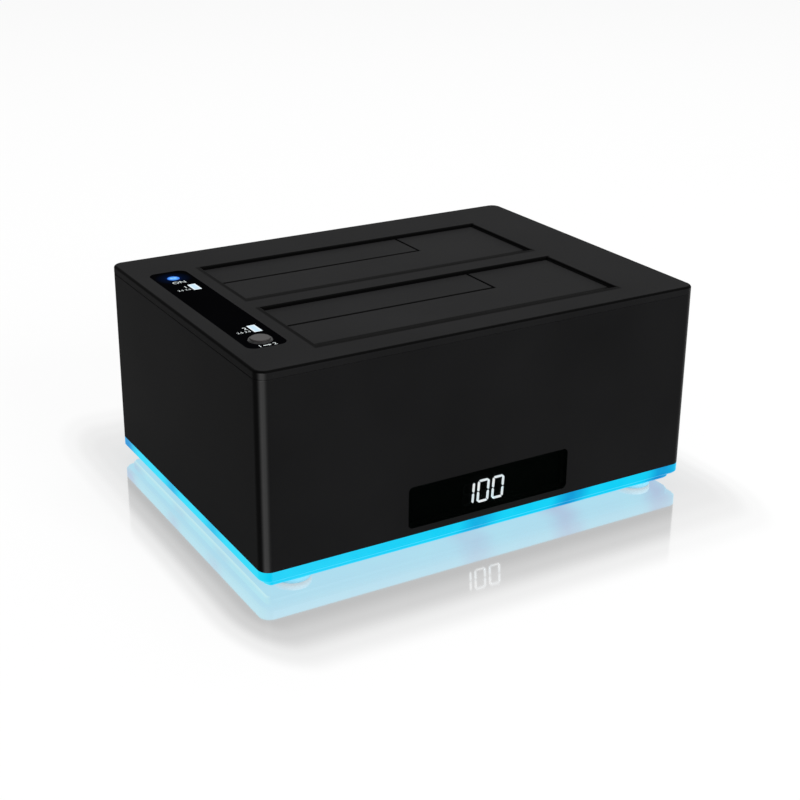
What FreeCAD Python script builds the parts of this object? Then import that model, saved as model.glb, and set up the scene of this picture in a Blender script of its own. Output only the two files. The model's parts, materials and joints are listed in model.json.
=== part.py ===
"""Dual-bay drive duplicator: a table-top dock that holds two disk drives upright and copies one to the other.

Frame: origin under the middle of the housing at the level the feet stand on, +X to the right along the long
front face, +Y towards the back, +Z up.  Millimetres throughout.

The black housing is a four-walled shell under a thick top cover, and stands on a translucent lit base with
rubber feet.  Each bay has an L-shaped flap hinged along the front of its slot, for the larger drives, and
a small flap hinged along the back, for the smaller ones.  Both swing down on steel pins against torsion
springs.
"""
import FreeCAD, Part
import math
import os

import Sketcher
from FreeCAD import Rotation, Vector

# ---------------------------------------------------------------------------------------------------------
# Driving dimensions: alias, value, meaning
# ---------------------------------------------------------------------------------------------------------
SIZES = (
    ("body_width", 150.0, "housing along X"),
    ("body_depth", 110.5, "housing along Y"),
    ("body_height", 60.3, "black housing above the lit base, cover included"),
    ("corner_radius", 3.5, "upright corners of housing and base"),
    ("shell_wall", 2.2, "outer shell wall"),
    ("cover_thickness", 2.65, "top cover plate"),
    ("cover_round", 0.9, "rounding of the cover's top rim"),
    ("seam_chamfer", 0.2, "bevel each side of the seam under the cover"),
    ("lip_height", 3.0, "locating lip under the cover"),
    ("lip_wall", 1.4, "locating lip thickness"),
    ("lip_gap", 0.15, "between the lip and the shell"),
    # lit base
    ("foot_height", 1.8, "rubber feet"),
    ("foot_radius", 5.7, "rubber feet"),
    ("foot_inset_x", 13.0, "feet, base screws and posts, from the housing's ends"),
    ("foot_inset_y", 8.25, "feet, base screws and posts, from the housing's front and back"),
    ("plate_height", 3.35, "lit plate, flush with the housing"),
    ("tier_height", 2.35, "lit step below the plate"),
    ("tier_inset", 2.3, "how far the step stands back from the plate"),
    ("tier_radius", 2.2, "upright corners of the step"),
    ("base_bevel", 0.6, "bevel under the plate and the step"),
    ("channel_inset", 5.0, "groove for the light strips, from the rim"),
    ("channel_width", 5.0, "groove for the light strips"),
    ("channel_depth", 1.9, "groove for the light strips"),
    ("strip_thickness", 0.8, "light strip boards"),
    ("strip_gap", 0.3, "between a strip and its groove's walls"),
    ("strip_end", 9.0, "from a groove's end to the base screw beside it"),
    ("chip_size", 2.8, "light chip, square"),
    ("chip_height", 0.8, "light chip"),
    # chassis and main board
    ("chassis_thickness", 1.5, "inner floor plate"),
    ("chassis_gap", 0.2, "between the floor plate and the shell"),
    ("standoff_height", 2.4, "posts that carry the main board"),
    ("standoff_radius", 2.5, "posts that carry the main board"),
    ("board_thickness", 1.6, "main board"),
    ("board_post_gap", 2.8, "between the main board and the cover's posts"),
    ("board_front", 9.0, "main board's front edge, from the housing's front"),
    ("board_back", 0.5, "main board's back edge, from the connector panel"),
    ("board_hole_inset", 4.0, "main board screws, from its edges"),
    ("capacitor_radius", 3.15, "capacitors on the main board"),
    ("capacitor_height", 8.0, "capacitors on the main board"),
    ("capacitor_inset", 6.0, "capacitors, from the main board's back edge"),
    ("capacitor_gap", 2.9, "capacitors, from the connectors beside them"),
    ("bridge_chip", 9.0, "largest chip on the main board, square"),
    ("small_chip", 6.0, "other chips on the main board, square"),
    ("chip_rise", 0.9, "chips above the main board"),
    ("post_radius", 3.2, "cover posts that reach down to the base screws"),
    ("screw_radius", 1.4, "base screw shank"),
    ("screw_head_radius", 2.8, "base screw head"),
    ("screw_head_height", 1.3, "base screw head"),
    ("screw_bite", 8.0, "base screw length inside its post"),
    ("small_screw_bite", 2.2, "inner screws, length inside what they hold to"),
    ("head_room", 0.2, "room over a base screw head"),
    ("small_screw_radius", 0.95, "shank of the screws inside the housing"),
    ("small_head_radius", 1.7, "head of the screws inside the housing"),
    ("small_head_height", 1.2, "head of the screws inside the housing"),
    ("screw_play", 0.05, "radial room round a screw or a seated pin"),
    # slots and bays
    ("slot_gap", 5.75, "slot's left end, from the control panel"),
    ("slot_margin", 22.3, "slot's right end, from the housing's end"),
    ("slot_depth", 36.0, "slot along Y"),
    ("slot_round", 0.5, "rounding of the slot's top edge"),
    ("bay_pitch", 44.95, "between the two slots' middles"),
    ("bay_centre", -3.375, "middle of the two slots along Y"),
    ("collar_height", 3.0, "frame under the cover round each slot"),
    ("collar_wall", 2.0, "frame under the cover round each slot"),
    ("bay_wall", 1.6, "drive bay walls"),
    ("bay_floor", 1.5, "drive bay floor"),
    ("floor_clearance", 4.0, "room between the main board and a bay"),
    ("mouth_relief", 0.9, "extra room at the ends of a bay's mouth"),
    ("mouth_depth", 9.5, "depth of a bay's mouth"),
    ("ear_length", 5.6, "screw ear on each end of a bay"),
    ("ear_width", 8.0, "screw ear on each end of a bay"),
    ("ear_thickness", 2.0, "screw ear on each end of a bay"),
    ("boss_radius", 2.4, "cover boss above a screw ear"),
    ("rib_width", 1.6, "drive guide ribs"),
    ("rib_inset", 14.0, "outer guide ribs, from the slot's ends"),
    ("back_rib_height", 27.0, "guide ribs behind the drive"),
    ("front_rib_height", 8.5, "guide ribs before the drive"),
    ("drive_end_play", 1.2, "room at each end of the larger drive"),
    ("drive_thickness", 26.1, "larger drive along Y"),
    ("drive_play", 0.3, "room before and behind the larger drive"),
    # flaps and hinges
    ("flap_recess", 1.0, "flaps below the cover's top"),
    ("flap_gap", 0.5, "between a flap and what it meets"),
    ("flap_thickness", 1.3, "flap plate"),
    ("flap_round", 0.3, "rounding of a flap's top edges"),
    ("small_flap_length", 72.5, "slot's left end to the split"),
    ("small_flap_depth", 16.0, "slot's back to the split"),
    ("skirt_height", 1.2, "stiffening rim under a flap"),
    ("skirt_width", 1.0, "stiffening rim under a flap"),
    ("hinge_drop", 2.6, "pin's axis below the flap's top"),
    ("hinge_radius", 1.2, "hinge barrel, and its axis from the flap's edge"),
    ("pin_radius", 0.5, "hinge pin"),
    ("pin_play", 0.05, "radial running clearance on a pin"),
    ("eye_radius", 1.0, "eye that holds the small flap's pin"),
    ("eye_width", 2.2, "eye that holds the small flap's pin"),
    ("eye_clearance", 0.3, "between the eye and the small flap's barrel"),
    ("tab_offset", 5.5, "stop tab, from the hinge axis"),
    ("tab_width", 3.0, "stop tab"),
    ("tab_reach", 0.5, "stop tab past the slot's end"),
    ("tab_rest", 0.05, "stop tab below the cover"),
    ("notch_play", 0.4, "room round a stop tab"),
    ("notch_lead", 1.0, "room inside a stop tab's swing"),
    ("spring_gap", 4.4, "opening in a barrel for its spring"),
    ("spring_offset", 12.0, "spring, from the middle of its flap"),
    ("wire_radius", 0.15, "torsion spring wire"),
    ("coil_radius", 0.85, "torsion spring, to the wire's middle"),
    ("coil_turns", 4.0, "whole turns of a torsion spring"),
    ("coil_pitch", 0.45, "torsion spring, turn to turn"),
    ("spring_leg", 4.0, "torsion spring legs"),
    # drive sockets
    ("connector_offset", 30.1, "drive's side edge to its connector's middle"),
    ("connector_setback", 3.5, "drive's back to its connector's middle"),
    ("socket_length", 42.0, "drive socket"),
    ("socket_width", 5.8, "drive socket"),
    ("socket_rise", 4.5, "drive socket above the bay's floor"),
    ("socket_flange", 1.4, "socket's foot, past its body"),
    ("socket_flange_height", 3.2, "socket's foot"),
    ("window_gap", 0.3, "between the socket and the hole in the bay's floor"),
    ("cavity_depth", 6.0, "blade cavities of a socket"),
    ("cavity_width", 1.6, "blade cavities of a socket"),
    ("cavity_key", 1.2, "short leg of a cavity's L"),
    ("signal_length", 11.0, "signal cavity"),
    ("power_length", 21.1, "power cavity"),
    ("cavity_wall", 2.1, "between the two cavities"),
    ("contact_pitch", 1.27, "contact to contact"),
    ("contact_width", 0.6, "contact"),
    ("contact_thickness", 0.25, "contact"),
    ("contact_drop", 0.8, "contact below the socket's top"),
    # control panel
    ("panel_inset", 11.8, "control panel's middle, from the housing's end"),
    ("panel_y", -0.6, "control panel's middle"),
    ("panel_width", 12.3, "control panel along X"),
    ("panel_length", 75.9, "control panel along Y"),
    ("panel_radius", 2.8, "control panel's corners"),
    ("panel_pocket", 1.5, "pocket in the cover for the panel"),
    ("panel_drop", 0.1, "panel's face below the cover's top"),
    ("panel_gap", 0.1, "round the panel"),
    ("lamp_inset", 6.55, "power lamp, from the panel's back end"),
    ("lamp_radius", 1.95, "power lamp"),
    ("lamp_stem_radius", 1.45, "power lamp's light pipe"),
    ("status_x", 2.55, "status windows, from the panel's middle"),
    ("status_rear_gap", 10.9, "rear bay's status window, from the lamp"),
    ("status_front_gap", 9.15, "front bay's status window, from the clone button"),
    ("status_width", 2.5, "status window along X"),
    ("status_length", 5.6, "status window along Y"),
    ("status_step", 0.45, "status window's light pipe, inside its head"),
    ("lens_gap", 0.05, "round the lamp and the windows"),
    ("button_inset", 6.15, "clone button, from the panel's front end"),
    ("button_radius", 2.95, "clone button"),
    ("button_rise", 0.75, "clone button above the panel"),
    ("button_bevel", 0.2, "clone button's rim"),
    ("button_gap", 0.1, "between the clone button and its ring"),
    ("button_flange", 1.2, "flange that keeps the button in, past its side"),
    ("button_flange_height", 0.8, "flange that keeps the button in"),
    ("button_rest", 0.05, "flange below the cover"),
    ("button_stem_radius", 1.4, "clone button's stem"),
    ("ring_radius", 3.6, "ring round the clone button"),
    ("ring_rise", 0.35, "ring above the panel"),
    ("ring_wall", 0.28, "ring's tube"),
    ("indicator_drop", 7.65, "indicator board's top below the cover"),
    ("indicator_thickness", 1.0, "indicator board"),
    ("indicator_side", 0.65, "indicator board, inside the panel's sides"),
    ("indicator_end", 1.45, "indicator board, inside the panel's ends"),
    ("indicator_post", 8.0, "indicator board screws, from the panel's middle"),
    ("indicator_post_radius", 2.0, "cover posts that carry the indicator board"),
    ("lamp_chip", 1.6, "light chips on the indicator board"),
    ("tact_size", 6.0, "push switch, square"),
    ("tact_height", 3.6, "push switch"),
    ("plunger_radius", 1.75, "push switch plunger"),
    ("plunger_play", 0.08, "round the plunger"),
    ("plunger_rise", 2.05, "plunger above the switch"),
    ("plunger_depth", 1.2, "plunger inside the switch"),
    ("plunger_room", 1.0, "hollow under the plunger"),
    # display
    ("window_x", 0.35, "display window's middle"),
    ("window_z", 8.75, "display window's middle above the lit base"),
    ("window_width", 56.7, "display window"),
    ("window_height", 13.4, "display window"),
    ("window_radius", 1.6, "display window's corners"),
    ("window_seat", 1.5, "depth of the window's seat"),
    ("window_thickness", 1.4, "display window"),
    ("window_play", 0.06, "round the display window"),
    ("window_ledge", 1.3, "ledge behind the window"),
    ("module_margin", 1.2, "display module past the ledge's opening"),
    ("module_depth", 5.2, "display module"),
    ("module_rise", 0.6, "display module's face, into the ledge's opening"),
    ("module_play", 0.1, "round the module's face"),
    ("module_rim", 0.3, "rim of the module's face"),
    ("digits_x", -0.9, "middle digit"),
    ("digits_z", 7.5, "digits' middle above the lit base"),
    ("digit_width", 4.0, "digit"),
    ("digit_height", 7.3, "digit"),
    ("digit_pitch", 5.27, "digit to digit"),
    ("digit_slant", 0.06, "digits' lean, sideways for their height"),
    ("stroke", 0.54, "segment of a digit"),
    ("stroke_gap", 0.12, "between two segments' tips"),
    ("stroke_depth", 0.4, "segment of a digit"),
    ("display_board", 1.0, "board behind the display module"),
    # connector panel
    ("recess_depth", 2.2, "connector recess in the back"),
    ("recess_half_width", 43.0, "connector recess"),
    ("recess_bottom", 3.0, "connector recess above the lit base"),
    ("recess_height", 17.5, "connector recess"),
    ("recess_radius", 1.5, "connector recess's corners"),
    ("panel_thickness", 2.0, "wall behind the recess"),
    ("panel_margin", 1.4, "thick wall past the recess"),
    ("usb_x", 10.0, "data port"),
    ("usb_width", 8.94, "data port's shell"),
    ("usb_height", 3.26, "data port's shell"),
    ("usb_wall", 0.3, "data port's shell"),
    ("usb_radius", 1.35, "data port's rounded corners"),
    ("usb_length", 7.3, "data port's shell"),
    ("usb_mouth", 0.4, "data port's mouth inside the recess floor"),
    ("usb_cavity", 6.2, "data port's depth"),
    ("tongue_width", 6.69, "data port's tongue"),
    ("tongue_thickness", 0.7, "data port's tongue"),
    ("tongue_length", 4.6, "data port's tongue"),
    ("usb_opening_width", 12.6, "hole for the data plug's body"),
    ("usb_opening_height", 6.6, "hole for the data plug's body"),
    ("jack_x", 32.0, "power inlet"),
    ("jack_width", 9.0, "power inlet body"),
    ("jack_height", 11.0, "power inlet body"),
    ("jack_axis", 6.4, "power inlet's axis above the board"),
    ("jack_length", 11.2, "power inlet body"),
    ("jack_nose", 4.0, "power inlet's round nose, radius"),
    ("jack_bore", 3.15, "power inlet's bore, radius"),
    ("jack_depth", 9.8, "power inlet's bore"),
    ("jack_pin", 1.0, "power inlet's centre pin, radius"),
    ("jack_pin_setback", 0.8, "centre pin's tip inside the mouth"),
    ("jack_play", 0.15, "round the power inlet's nose"),
    ("switch_x", -27.0, "power switch"),
    ("switch_z", 12.0, "power switch's middle above the lit base"),
    ("switch_width", 14.2, "power switch body"),
    ("switch_height", 10.2, "power switch body"),
    ("switch_length", 9.0, "power switch body"),
    ("switch_flange", 1.2, "power switch's rim, past its body"),
    ("switch_flange_depth", 0.8, "power switch's rim"),
    ("switch_play", 0.1, "round the power switch body"),
    ("switch_wall", 0.9, "power switch's walls"),
    ("switch_cavity", 6.4, "hollow for the rocker"),
    ("rocker_play", 0.5, "between the rocker's ends and its frame"),
    ("rocker_side_play", 0.2, "between the rocker's sides and its frame"),
    ("rocker_pivot", 2.25, "rocker's axis below the rim's face"),
    ("rocker_tip", 0.45, "rocker's tips past the rim's face, when level"),
    ("rocker_dip", 0.8, "hollow in the rocker's face"),
    ("rocker_skirt", 2.2, "rocker below its axis"),
    ("rocker_taper", 1.8, "rocker's ends drawn in at its foot"),
    ("rocker_tilt", 6.0, "rocker's lean either way, degrees"),
    ("trunnion_radius", 0.8, "rocker's trunnions"),
    ("trunnion_length", 0.7, "rocker's trunnions"),
)

# ---------------------------------------------------------------------------------------------------------
# Places worked out from the dimensions: name, expression
# ---------------------------------------------------------------------------------------------------------
PLACES = [
    ("half_width", "dims.body_width / 2"),
    ("half_depth", "dims.body_depth / 2"),
    ("inner_x", "at.half_width - dims.shell_wall"),
    ("inner_y", "at.half_depth - dims.shell_wall"),
    ("foot_x", "at.half_width - dims.foot_inset_x"),
    ("foot_y", "at.half_depth - dims.foot_inset_y"),
    ("board_half_width", "at.foot_x - dims.post_radius - dims.board_post_gap"),
    ("plate_bottom", "dims.foot_height + dims.tier_height"),
    ("base_top", "at.plate_bottom + dims.plate_height"),
    ("top", "at.base_top + dims.body_height"),
    ("seam", "at.top - dims.cover_thickness"),
    ("chassis_top", "at.base_top + dims.chassis_thickness"),
    ("board_bottom", "at.chassis_top + dims.standoff_height"),
    ("board_top", "at.board_bottom + dims.board_thickness"),
    ("bay_bottom", "at.board_top + dims.floor_clearance"),
    ("bay_inside", "at.bay_bottom + dims.bay_floor"),
    ("collar_bottom", "at.seam - dims.collar_height"),
    ("flap_top", "at.top - dims.flap_recess"),
    ("flap_bottom", "at.flap_top - dims.flap_thickness"),
    ("pin_level", "at.flap_top - dims.hinge_drop"),
    ("tab_top", "at.seam - dims.tab_rest"),
    ("skirt_bottom", "at.flap_bottom - dims.skirt_height"),
    ("panel_x", "dims.panel_inset - at.half_width"),
    ("panel_left", "at.panel_x - dims.panel_width / 2"),
    ("panel_right", "at.panel_x + dims.panel_width / 2"),
    ("slot_left", "at.panel_right + dims.slot_gap"),
    ("slot_right", "at.half_width - dims.slot_margin"),
    ("slot_centre", "(at.slot_left + at.slot_right) / 2"),
    ("bay_left", "at.slot_left - dims.mouth_relief - dims.bay_wall"),
    ("bay_right", "at.slot_right + dims.mouth_relief + dims.bay_wall"),
    ("ear_left", "at.bay_left - dims.ear_length / 2"),
    ("ear_right", "at.bay_right + dims.ear_length / 2"),
    ("flap_left", "at.slot_left + dims.flap_gap"),
    ("flap_right", "at.slot_right - dims.flap_gap"),
    ("split_x", "at.slot_left + dims.small_flap_length"),
    ("small_right", "at.split_x - dims.flap_gap / 2"),
    ("large_inner", "at.split_x + dims.flap_gap / 2"),
    ("barrel_end", "at.small_right - dims.eye_width - 2 * dims.eye_clearance"),
    ("eye_left", "at.barrel_end + dims.eye_clearance"),
    ("eye_right", "at.eye_left + dims.eye_width"),
    ("large_spring_x", "at.slot_centre + dims.spring_offset"),
    ("small_spring_x", "(at.flap_left + at.barrel_end) / 2 - dims.spring_offset"),
    ("notch_depth", "dims.tab_reach + dims.notch_play"),
    ("socket_x", "at.slot_left + dims.drive_end_play + dims.connector_offset"),
    ("socket_top", "at.bay_inside + dims.socket_rise"),
    ("cavity_bottom", "at.socket_top - dims.cavity_depth"),
    ("signal_left", "at.socket_x - (dims.signal_length + dims.cavity_wall + dims.power_length) / 2"),
    ("power_left", "at.signal_left + dims.signal_length + dims.cavity_wall"),
    ("panel_front", "dims.panel_y - dims.panel_length / 2"),
    ("panel_back", "dims.panel_y + dims.panel_length / 2"),
    ("lamp_y", "at.panel_back - dims.lamp_inset"),
    ("button_y", "at.panel_front + dims.button_inset"),
    ("status_rear_y", "at.lamp_y - dims.status_rear_gap"),
    ("status_front_y", "at.button_y + dims.status_front_gap"),
    ("indicator_half_width", "dims.panel_width / 2 - dims.indicator_side"),
    ("indicator_half_length", "dims.panel_length / 2 - dims.indicator_end"),
    ("panel_floor", "at.top - dims.panel_pocket"),
    ("panel_face", "at.top - dims.panel_drop"),
    ("status_left", "at.panel_x + dims.status_x - dims.status_width / 2"),
    ("status_right", "at.panel_x + dims.status_x + dims.status_width / 2"),
    ("indicator_top", "at.seam - dims.indicator_drop"),
    ("pipe_bottom", "at.indicator_top + dims.lamp_chip"),
    ("button_bottom", "at.seam - dims.button_rest - dims.button_flange_height"),
    ("ring_bore", "dims.button_radius + dims.button_gap"),
    ("ring_tube", "at.ring_bore + dims.ring_wall"),
    ("tact_top", "at.indicator_top + dims.tact_height"),
    ("plunger_top", "at.tact_top + dims.plunger_rise"),
    ("window_level", "at.base_top + dims.window_z"),
    ("window_ledge_y", "dims.window_seat - at.half_depth"),
    ("opening_half_width", "dims.window_width / 2 - dims.window_ledge"),
    ("opening_half_height", "dims.window_height / 2 - dims.window_ledge"),
    ("module_half_width", "at.opening_half_width + dims.module_margin"),
    ("module_half_height", "at.opening_half_height + dims.module_margin"),
    ("module_back", "dims.module_depth - at.inner_y"),
    ("digit_face", "-at.inner_y - dims.module_rise"),
    ("digits_level", "at.base_top + dims.digits_z"),
    ("recess_floor", "at.half_depth - dims.recess_depth"),
    ("panel_inside", "at.recess_floor - dims.panel_thickness"),
    ("recess_low", "at.base_top + dims.recess_bottom"),
    ("recess_high", "at.recess_low + dims.recess_height"),
    ("board_near", "dims.board_front - at.half_depth"),
    ("board_far", "at.panel_inside - dims.board_back"),
    ("hole_x", "at.board_half_width - dims.board_hole_inset"),
    ("hole_near", "at.board_near + dims.board_hole_inset"),
    ("hole_far", "at.board_far - dims.board_hole_inset"),
    ("usb_mouth_y", "at.recess_floor - dims.usb_mouth"),
    ("usb_level", "at.board_top + dims.usb_height / 2"),
    ("jack_level", "at.board_top + dims.jack_axis"),
    ("switch_level", "at.base_top + dims.switch_z"),
    ("switch_face", "at.recess_floor + dims.switch_flange_depth"),
    ("pivot_y", "at.switch_face - dims.rocker_pivot"),
    ("cavity_half_width", "dims.switch_width / 2 - dims.switch_wall"),
    ("cavity_half_height", "dims.switch_height / 2 - dims.switch_wall"),
    ("channel_x", "at.half_width - dims.channel_inset - dims.channel_width / 2"),
    ("channel_y", "at.half_depth - dims.channel_inset - dims.channel_width / 2"),
    ("channel_bottom", "at.base_top - dims.channel_depth"),
]
SIDES = (("rear", "+"), ("front", "-"))
for side, sign in SIDES:
    PLACES += [
        (f"{side}_middle", f"dims.bay_centre {sign} dims.bay_pitch / 2"),
        (f"{side}_near", f"at.{side}_middle - dims.slot_depth / 2"),
        (f"{side}_far", f"at.{side}_middle + dims.slot_depth / 2"),
        (f"{side}_split", f"at.{side}_far - dims.small_flap_depth"),
        (f"{side}_large_pin", f"at.{side}_near + dims.flap_gap + dims.hinge_radius"),
        (f"{side}_small_pin", f"at.{side}_far - dims.flap_gap - dims.hinge_radius"),
        (f"{side}_drive_back", f"at.{side}_small_pin - dims.hinge_drop - dims.drive_play"),
        (f"{side}_drive_front", f"at.{side}_drive_back - dims.drive_thickness - 2 * dims.drive_play"),
        (f"{side}_socket", f"at.{side}_drive_back - dims.connector_setback"),
    ]

doc = FreeCAD.newDocument("drive_duplicator")
sheet = doc.addObject("Spreadsheet::Sheet", "dims")
for row, (alias, value, meaning) in enumerate(SIZES, start=1):
    sheet.set(f"A{row}", meaning)
    sheet.set(f"B{row}", str(value))
    sheet.setAlias(f"B{row}", alias)
doc.recompute()
places = doc.addObject("App::VarSet", "at")
for name, expression in PLACES:
    places.addProperty("App::PropertyFloat", name, "places")
    places.setExpression(name, expression)
doc.recompute()

nodes = []                              # the objects that become the part's pieces
HALF_SIDE = round(math.tan(math.pi / 8), 5)     # half an octagon's side, for a radius of one


# ---------------------------------------------------------------------------------------------------------
# Drawing and feature helpers
# ---------------------------------------------------------------------------------------------------------
def number(expression):
    """The present value of an expression of the sheet's cells and the places."""
    return float(sheet.evalExpression(expression))


def add_body(label, is_node=True):
    """An empty PartDesign body; a node unless it is only a master that links repeat."""
    body = doc.addObject("PartDesign::Body", label)
    return add_node(body, label) if is_node else body


def add_sketch(body, role, level):
    """A sketch on one of the body's own planes, moved along the plane's axis to the coordinate `level`."""
    sketch = body.newObject("Sketcher::SketchObject", body.Name + "_sketch")
    plane = next(item for item in body.Origin.OriginFeatures if item.Role == role)
    sketch.AttachmentSupport = (plane, [""])
    sketch.MapMode = "FlatFace"
    # the XZ plane faces -Y, the other two face along their own axis
    sketch.setExpression("AttachmentOffset.Base.z", f"-({level})" if role == "XZ_Plane" else level)
    return sketch


def pin_point(sketch, geometry, point, x, y):
    """Hold a sketch point at the coordinates x, y."""
    for kind, expression in (("DistanceX", x), ("DistanceY", y)):
        index = sketch.addConstraint(Sketcher.Constraint(kind, -1, 1, geometry, point, number(expression)))
        sketch.setExpression(f"Constraints[{index}]", expression)


def draw_outline(sketch, corners):
    """A closed outline of straight lines through the corners, given in order."""
    first = sketch.GeometryCount
    points = [Vector(number(x), number(y), 0) for x, y in corners]
    count = len(points)
    for index in range(count):
        sketch.addGeometry(Part.LineSegment(points[index], points[(index + 1) % count]))
    for index in range(count):
        following = first + (index + 1) % count
        sketch.addConstraint(Sketcher.Constraint("Coincident", first + index, 2, following, 1))
    for index, (x, y) in enumerate(corners):
        pin_point(sketch, first + index, 1, x, y)


def draw_rectangle(sketch, x0, x1, y0, y1):
    draw_outline(sketch, [(x0, y0), (x1, y0), (x1, y1), (x0, y1)])


def draw_circle(sketch, x, y, radius):
    centre = Vector(number(x), number(y), 0)
    circle = sketch.addGeometry(Part.Circle(centre, Vector(0, 0, 1), number(radius)))
    pin_point(sketch, circle, 3, x, y)
    index = sketch.addConstraint(Sketcher.Constraint("Radius", circle, number(radius)))
    sketch.setExpression(f"Constraints[{index}]", radius)


def draw_octagon(sketch, x, y, radius):
    """Eight sides round a centre, each side's middle at the radius, for the hidden posts and screw holes."""
    reach, half_side = f"({radius})", f"({radius}) * {HALF_SIDE}"
    turns = [(reach, f"-{half_side}"), (reach, half_side), (half_side, reach), (f"-{half_side}", reach)]
    turns += [(f"-{reach}", half_side), (f"-{reach}", f"-{half_side}"), (f"-{half_side}", f"-{reach}")]
    turns += [(half_side, f"-{reach}")]
    draw_outline(sketch, [(f"{x} + {across}", f"{y} + {along}") for across, along in turns])


def draw_rounded(sketch, x0, x1, y0, y1, radius):
    """A rectangle whose corners are quarter circles."""
    first = sketch.GeometryCount
    left, right, low, high, r = (number(item) for item in (x0, x1, y0, y1, radius))
    ends = [
        ((left + r, low), (right - r, low)),
        ((right, low + r), (right, high - r)),
        ((right - r, high), (left + r, high)),
        ((left, high - r), (left, low + r)),
    ]
    centres = [(right - r, low + r), (right - r, high - r), (left + r, high - r), (left + r, low + r)]
    for start, end in ends:
        sketch.addGeometry(Part.LineSegment(Vector(*start, 0), Vector(*end, 0)))
    for turn, centre in enumerate(centres):
        angle = (turn - 1) * math.pi / 2
        circle = Part.Circle(Vector(*centre, 0), Vector(0, 0, 1), r)
        sketch.addGeometry(Part.ArcOfCircle(circle, angle, angle + math.pi / 2))
    for turn in range(4):
        line, arc, following = first + turn, first + 4 + turn, first + (turn + 1) % 4
        sketch.addConstraint(Sketcher.Constraint("Tangent", line, 2, arc, 1))
        sketch.addConstraint(Sketcher.Constraint("Tangent", arc, 2, following, 1))
        sketch.addConstraint(Sketcher.Constraint("Horizontal" if turn % 2 == 0 else "Vertical", line))
        if turn:
            sketch.addConstraint(Sketcher.Constraint("Equal", first + 4, arc))
    index = sketch.addConstraint(Sketcher.Constraint("Radius", first + 4, r))
    sketch.setExpression(f"Constraints[{index}]", radius)
    sides = (("DistanceY", 0, y0), ("DistanceX", 1, x1), ("DistanceY", 2, y1), ("DistanceX", 3, x0))
    for kind, side, expression in sides:
        constraint = Sketcher.Constraint(kind, -1, 1, first + side, 1, number(expression))
        index = sketch.addConstraint(constraint)
        sketch.setExpression(f"Constraints[{index}]", expression)


def add_pad(sketch, length, way):
    """Raise the sketch by a length, towards plus (+1) or minus (-1) along its plane's axis."""
    body = sketch.getParentGeoFeatureGroup()
    pad = body.newObject("PartDesign::Pad", body.Name + "_pad")
    pad.Profile = sketch
    pad.setExpression("Length", length)
    faces_minus = sketch.AttachmentSupport[0][0].Role == "XZ_Plane"
    pad.Reversed = (way > 0) == faces_minus
    sketch.Visibility = False
    doc.recompute()
    return pad


def add_pocket(sketch, length, way):
    """Cut the sketch by a length, towards plus or minus, and see that something was cut."""
    body = sketch.getParentGeoFeatureGroup()
    before = body.Shape.Volume
    pocket = body.newObject("PartDesign::Pocket", body.Name + "_pocket")
    pocket.Profile = sketch
    pocket.setExpression("Length", length)
    faces_minus = sketch.AttachmentSupport[0][0].Role == "XZ_Plane"
    pocket.Reversed = (way > 0) != faces_minus
    sketch.Visibility = False
    doc.recompute()
    if not body.Shape.Volume < before:
        raise RuntimeError(f"{pocket.Name} cuts nothing")
    return pocket


def add_edge_feature(kind, body, size_property, size, chosen):
    """A fillet or chamfer on the edges that `chosen` picks by where they lie."""
    base = body.Tip
    names = [f"Edge{index}" for index, edge in enumerate(base.Shape.Edges, start=1) if chosen(edge.BoundBox)]
    feature = body.newObject(f"PartDesign::{kind}", body.Name + "_" + kind.lower())
    feature.Base = (base, names)
    feature.setExpression(size_property, size)
    doc.recompute()


def add_fillet(body, radius, chosen):
    add_edge_feature("Fillet", body, "Radius", radius, chosen)


def add_chamfer(body, size, chosen):
    add_edge_feature("Chamfer", body, "Size", size, chosen)


def near(value, expression):
    return abs(value - number(expression)) < 0.01


def at_level(box, level):
    """Whether an edge lies flat at a height."""
    return near(box.ZMin, level) and near(box.ZMax, level)


def on_rim(box, half_x, half_y):
    """Whether an edge lies along the sides of a rectangle about the Z axis, or round its corners."""
    reach_x = max(abs(box.XMin), abs(box.XMax))
    reach_y = max(abs(box.YMin), abs(box.YMax))
    return near(reach_x, half_x) or near(reach_y, half_y)


def add_cylinder(label, x, y, z, radius, height, axis=Vector(0, 0, 1)):
    """A Part cylinder from x, y, z along an axis."""
    cylinder = doc.addObject("Part::Cylinder", label)
    cylinder.setExpression("Radius", radius)
    cylinder.setExpression("Height", height)
    cylinder.Placement.Rotation = Rotation(Vector(0, 0, 1), axis)
    place(cylinder, x, y, z)
    return cylinder


def add_box(label, x0, x1, y0, y1, z0, z1):
    """A Part box between two corners."""
    box = doc.addObject("Part::Box", label)
    for size, low, high in (("Length", x0, x1), ("Width", y0, y1), ("Height", z0, z1)):
        box.setExpression(size, f"({high}) - ({low})")
    place(box, x0, y0, z0)
    return box


def place(item, x, y, z):
    for axis, expression in zip("xyz", (x, y, z)):
        item.setExpression(f"Placement.Base.{axis}", expression)


def add_fuse(label, *shapes):
    fuse = doc.addObject("Part::MultiFuse", label)
    fuse.Shapes = list(shapes)
    return fuse


def add_group(label, pieces):
    """One node of separate pieces: masters at the origin, each linked once at its own spot."""
    links = []
    for index, (master, spot) in enumerate(pieces, start=1):
        link = doc.addObject("App::Link", f"{label}_{index}")
        link.LinkedObject = master
        link.LinkTransform = True
        place(link, *spot)
        links.append(link)
    group = doc.addObject("Part::Compound", label)
    group.Links = links
    return add_node(group, label)


def add_node(item, label):
    """Enter a finished object as a node under its label."""
    item.Label = label
    nodes.append(item)
    return item


def minus(expression):
    return f"-({expression})"


def four_corners(x, y):
    """Both signs of both coordinates."""
    return [(sx, sy) for sx in (x, minus(x)) for sy in (y, minus(y))]


def grown(x0, x1, y0, y1, by):
    """A rectangle's sides moved outwards."""
    return f"{x0} - ({by})", f"{x1} + ({by})", f"{y0} - ({by})", f"{y1} + ({by})"


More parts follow.
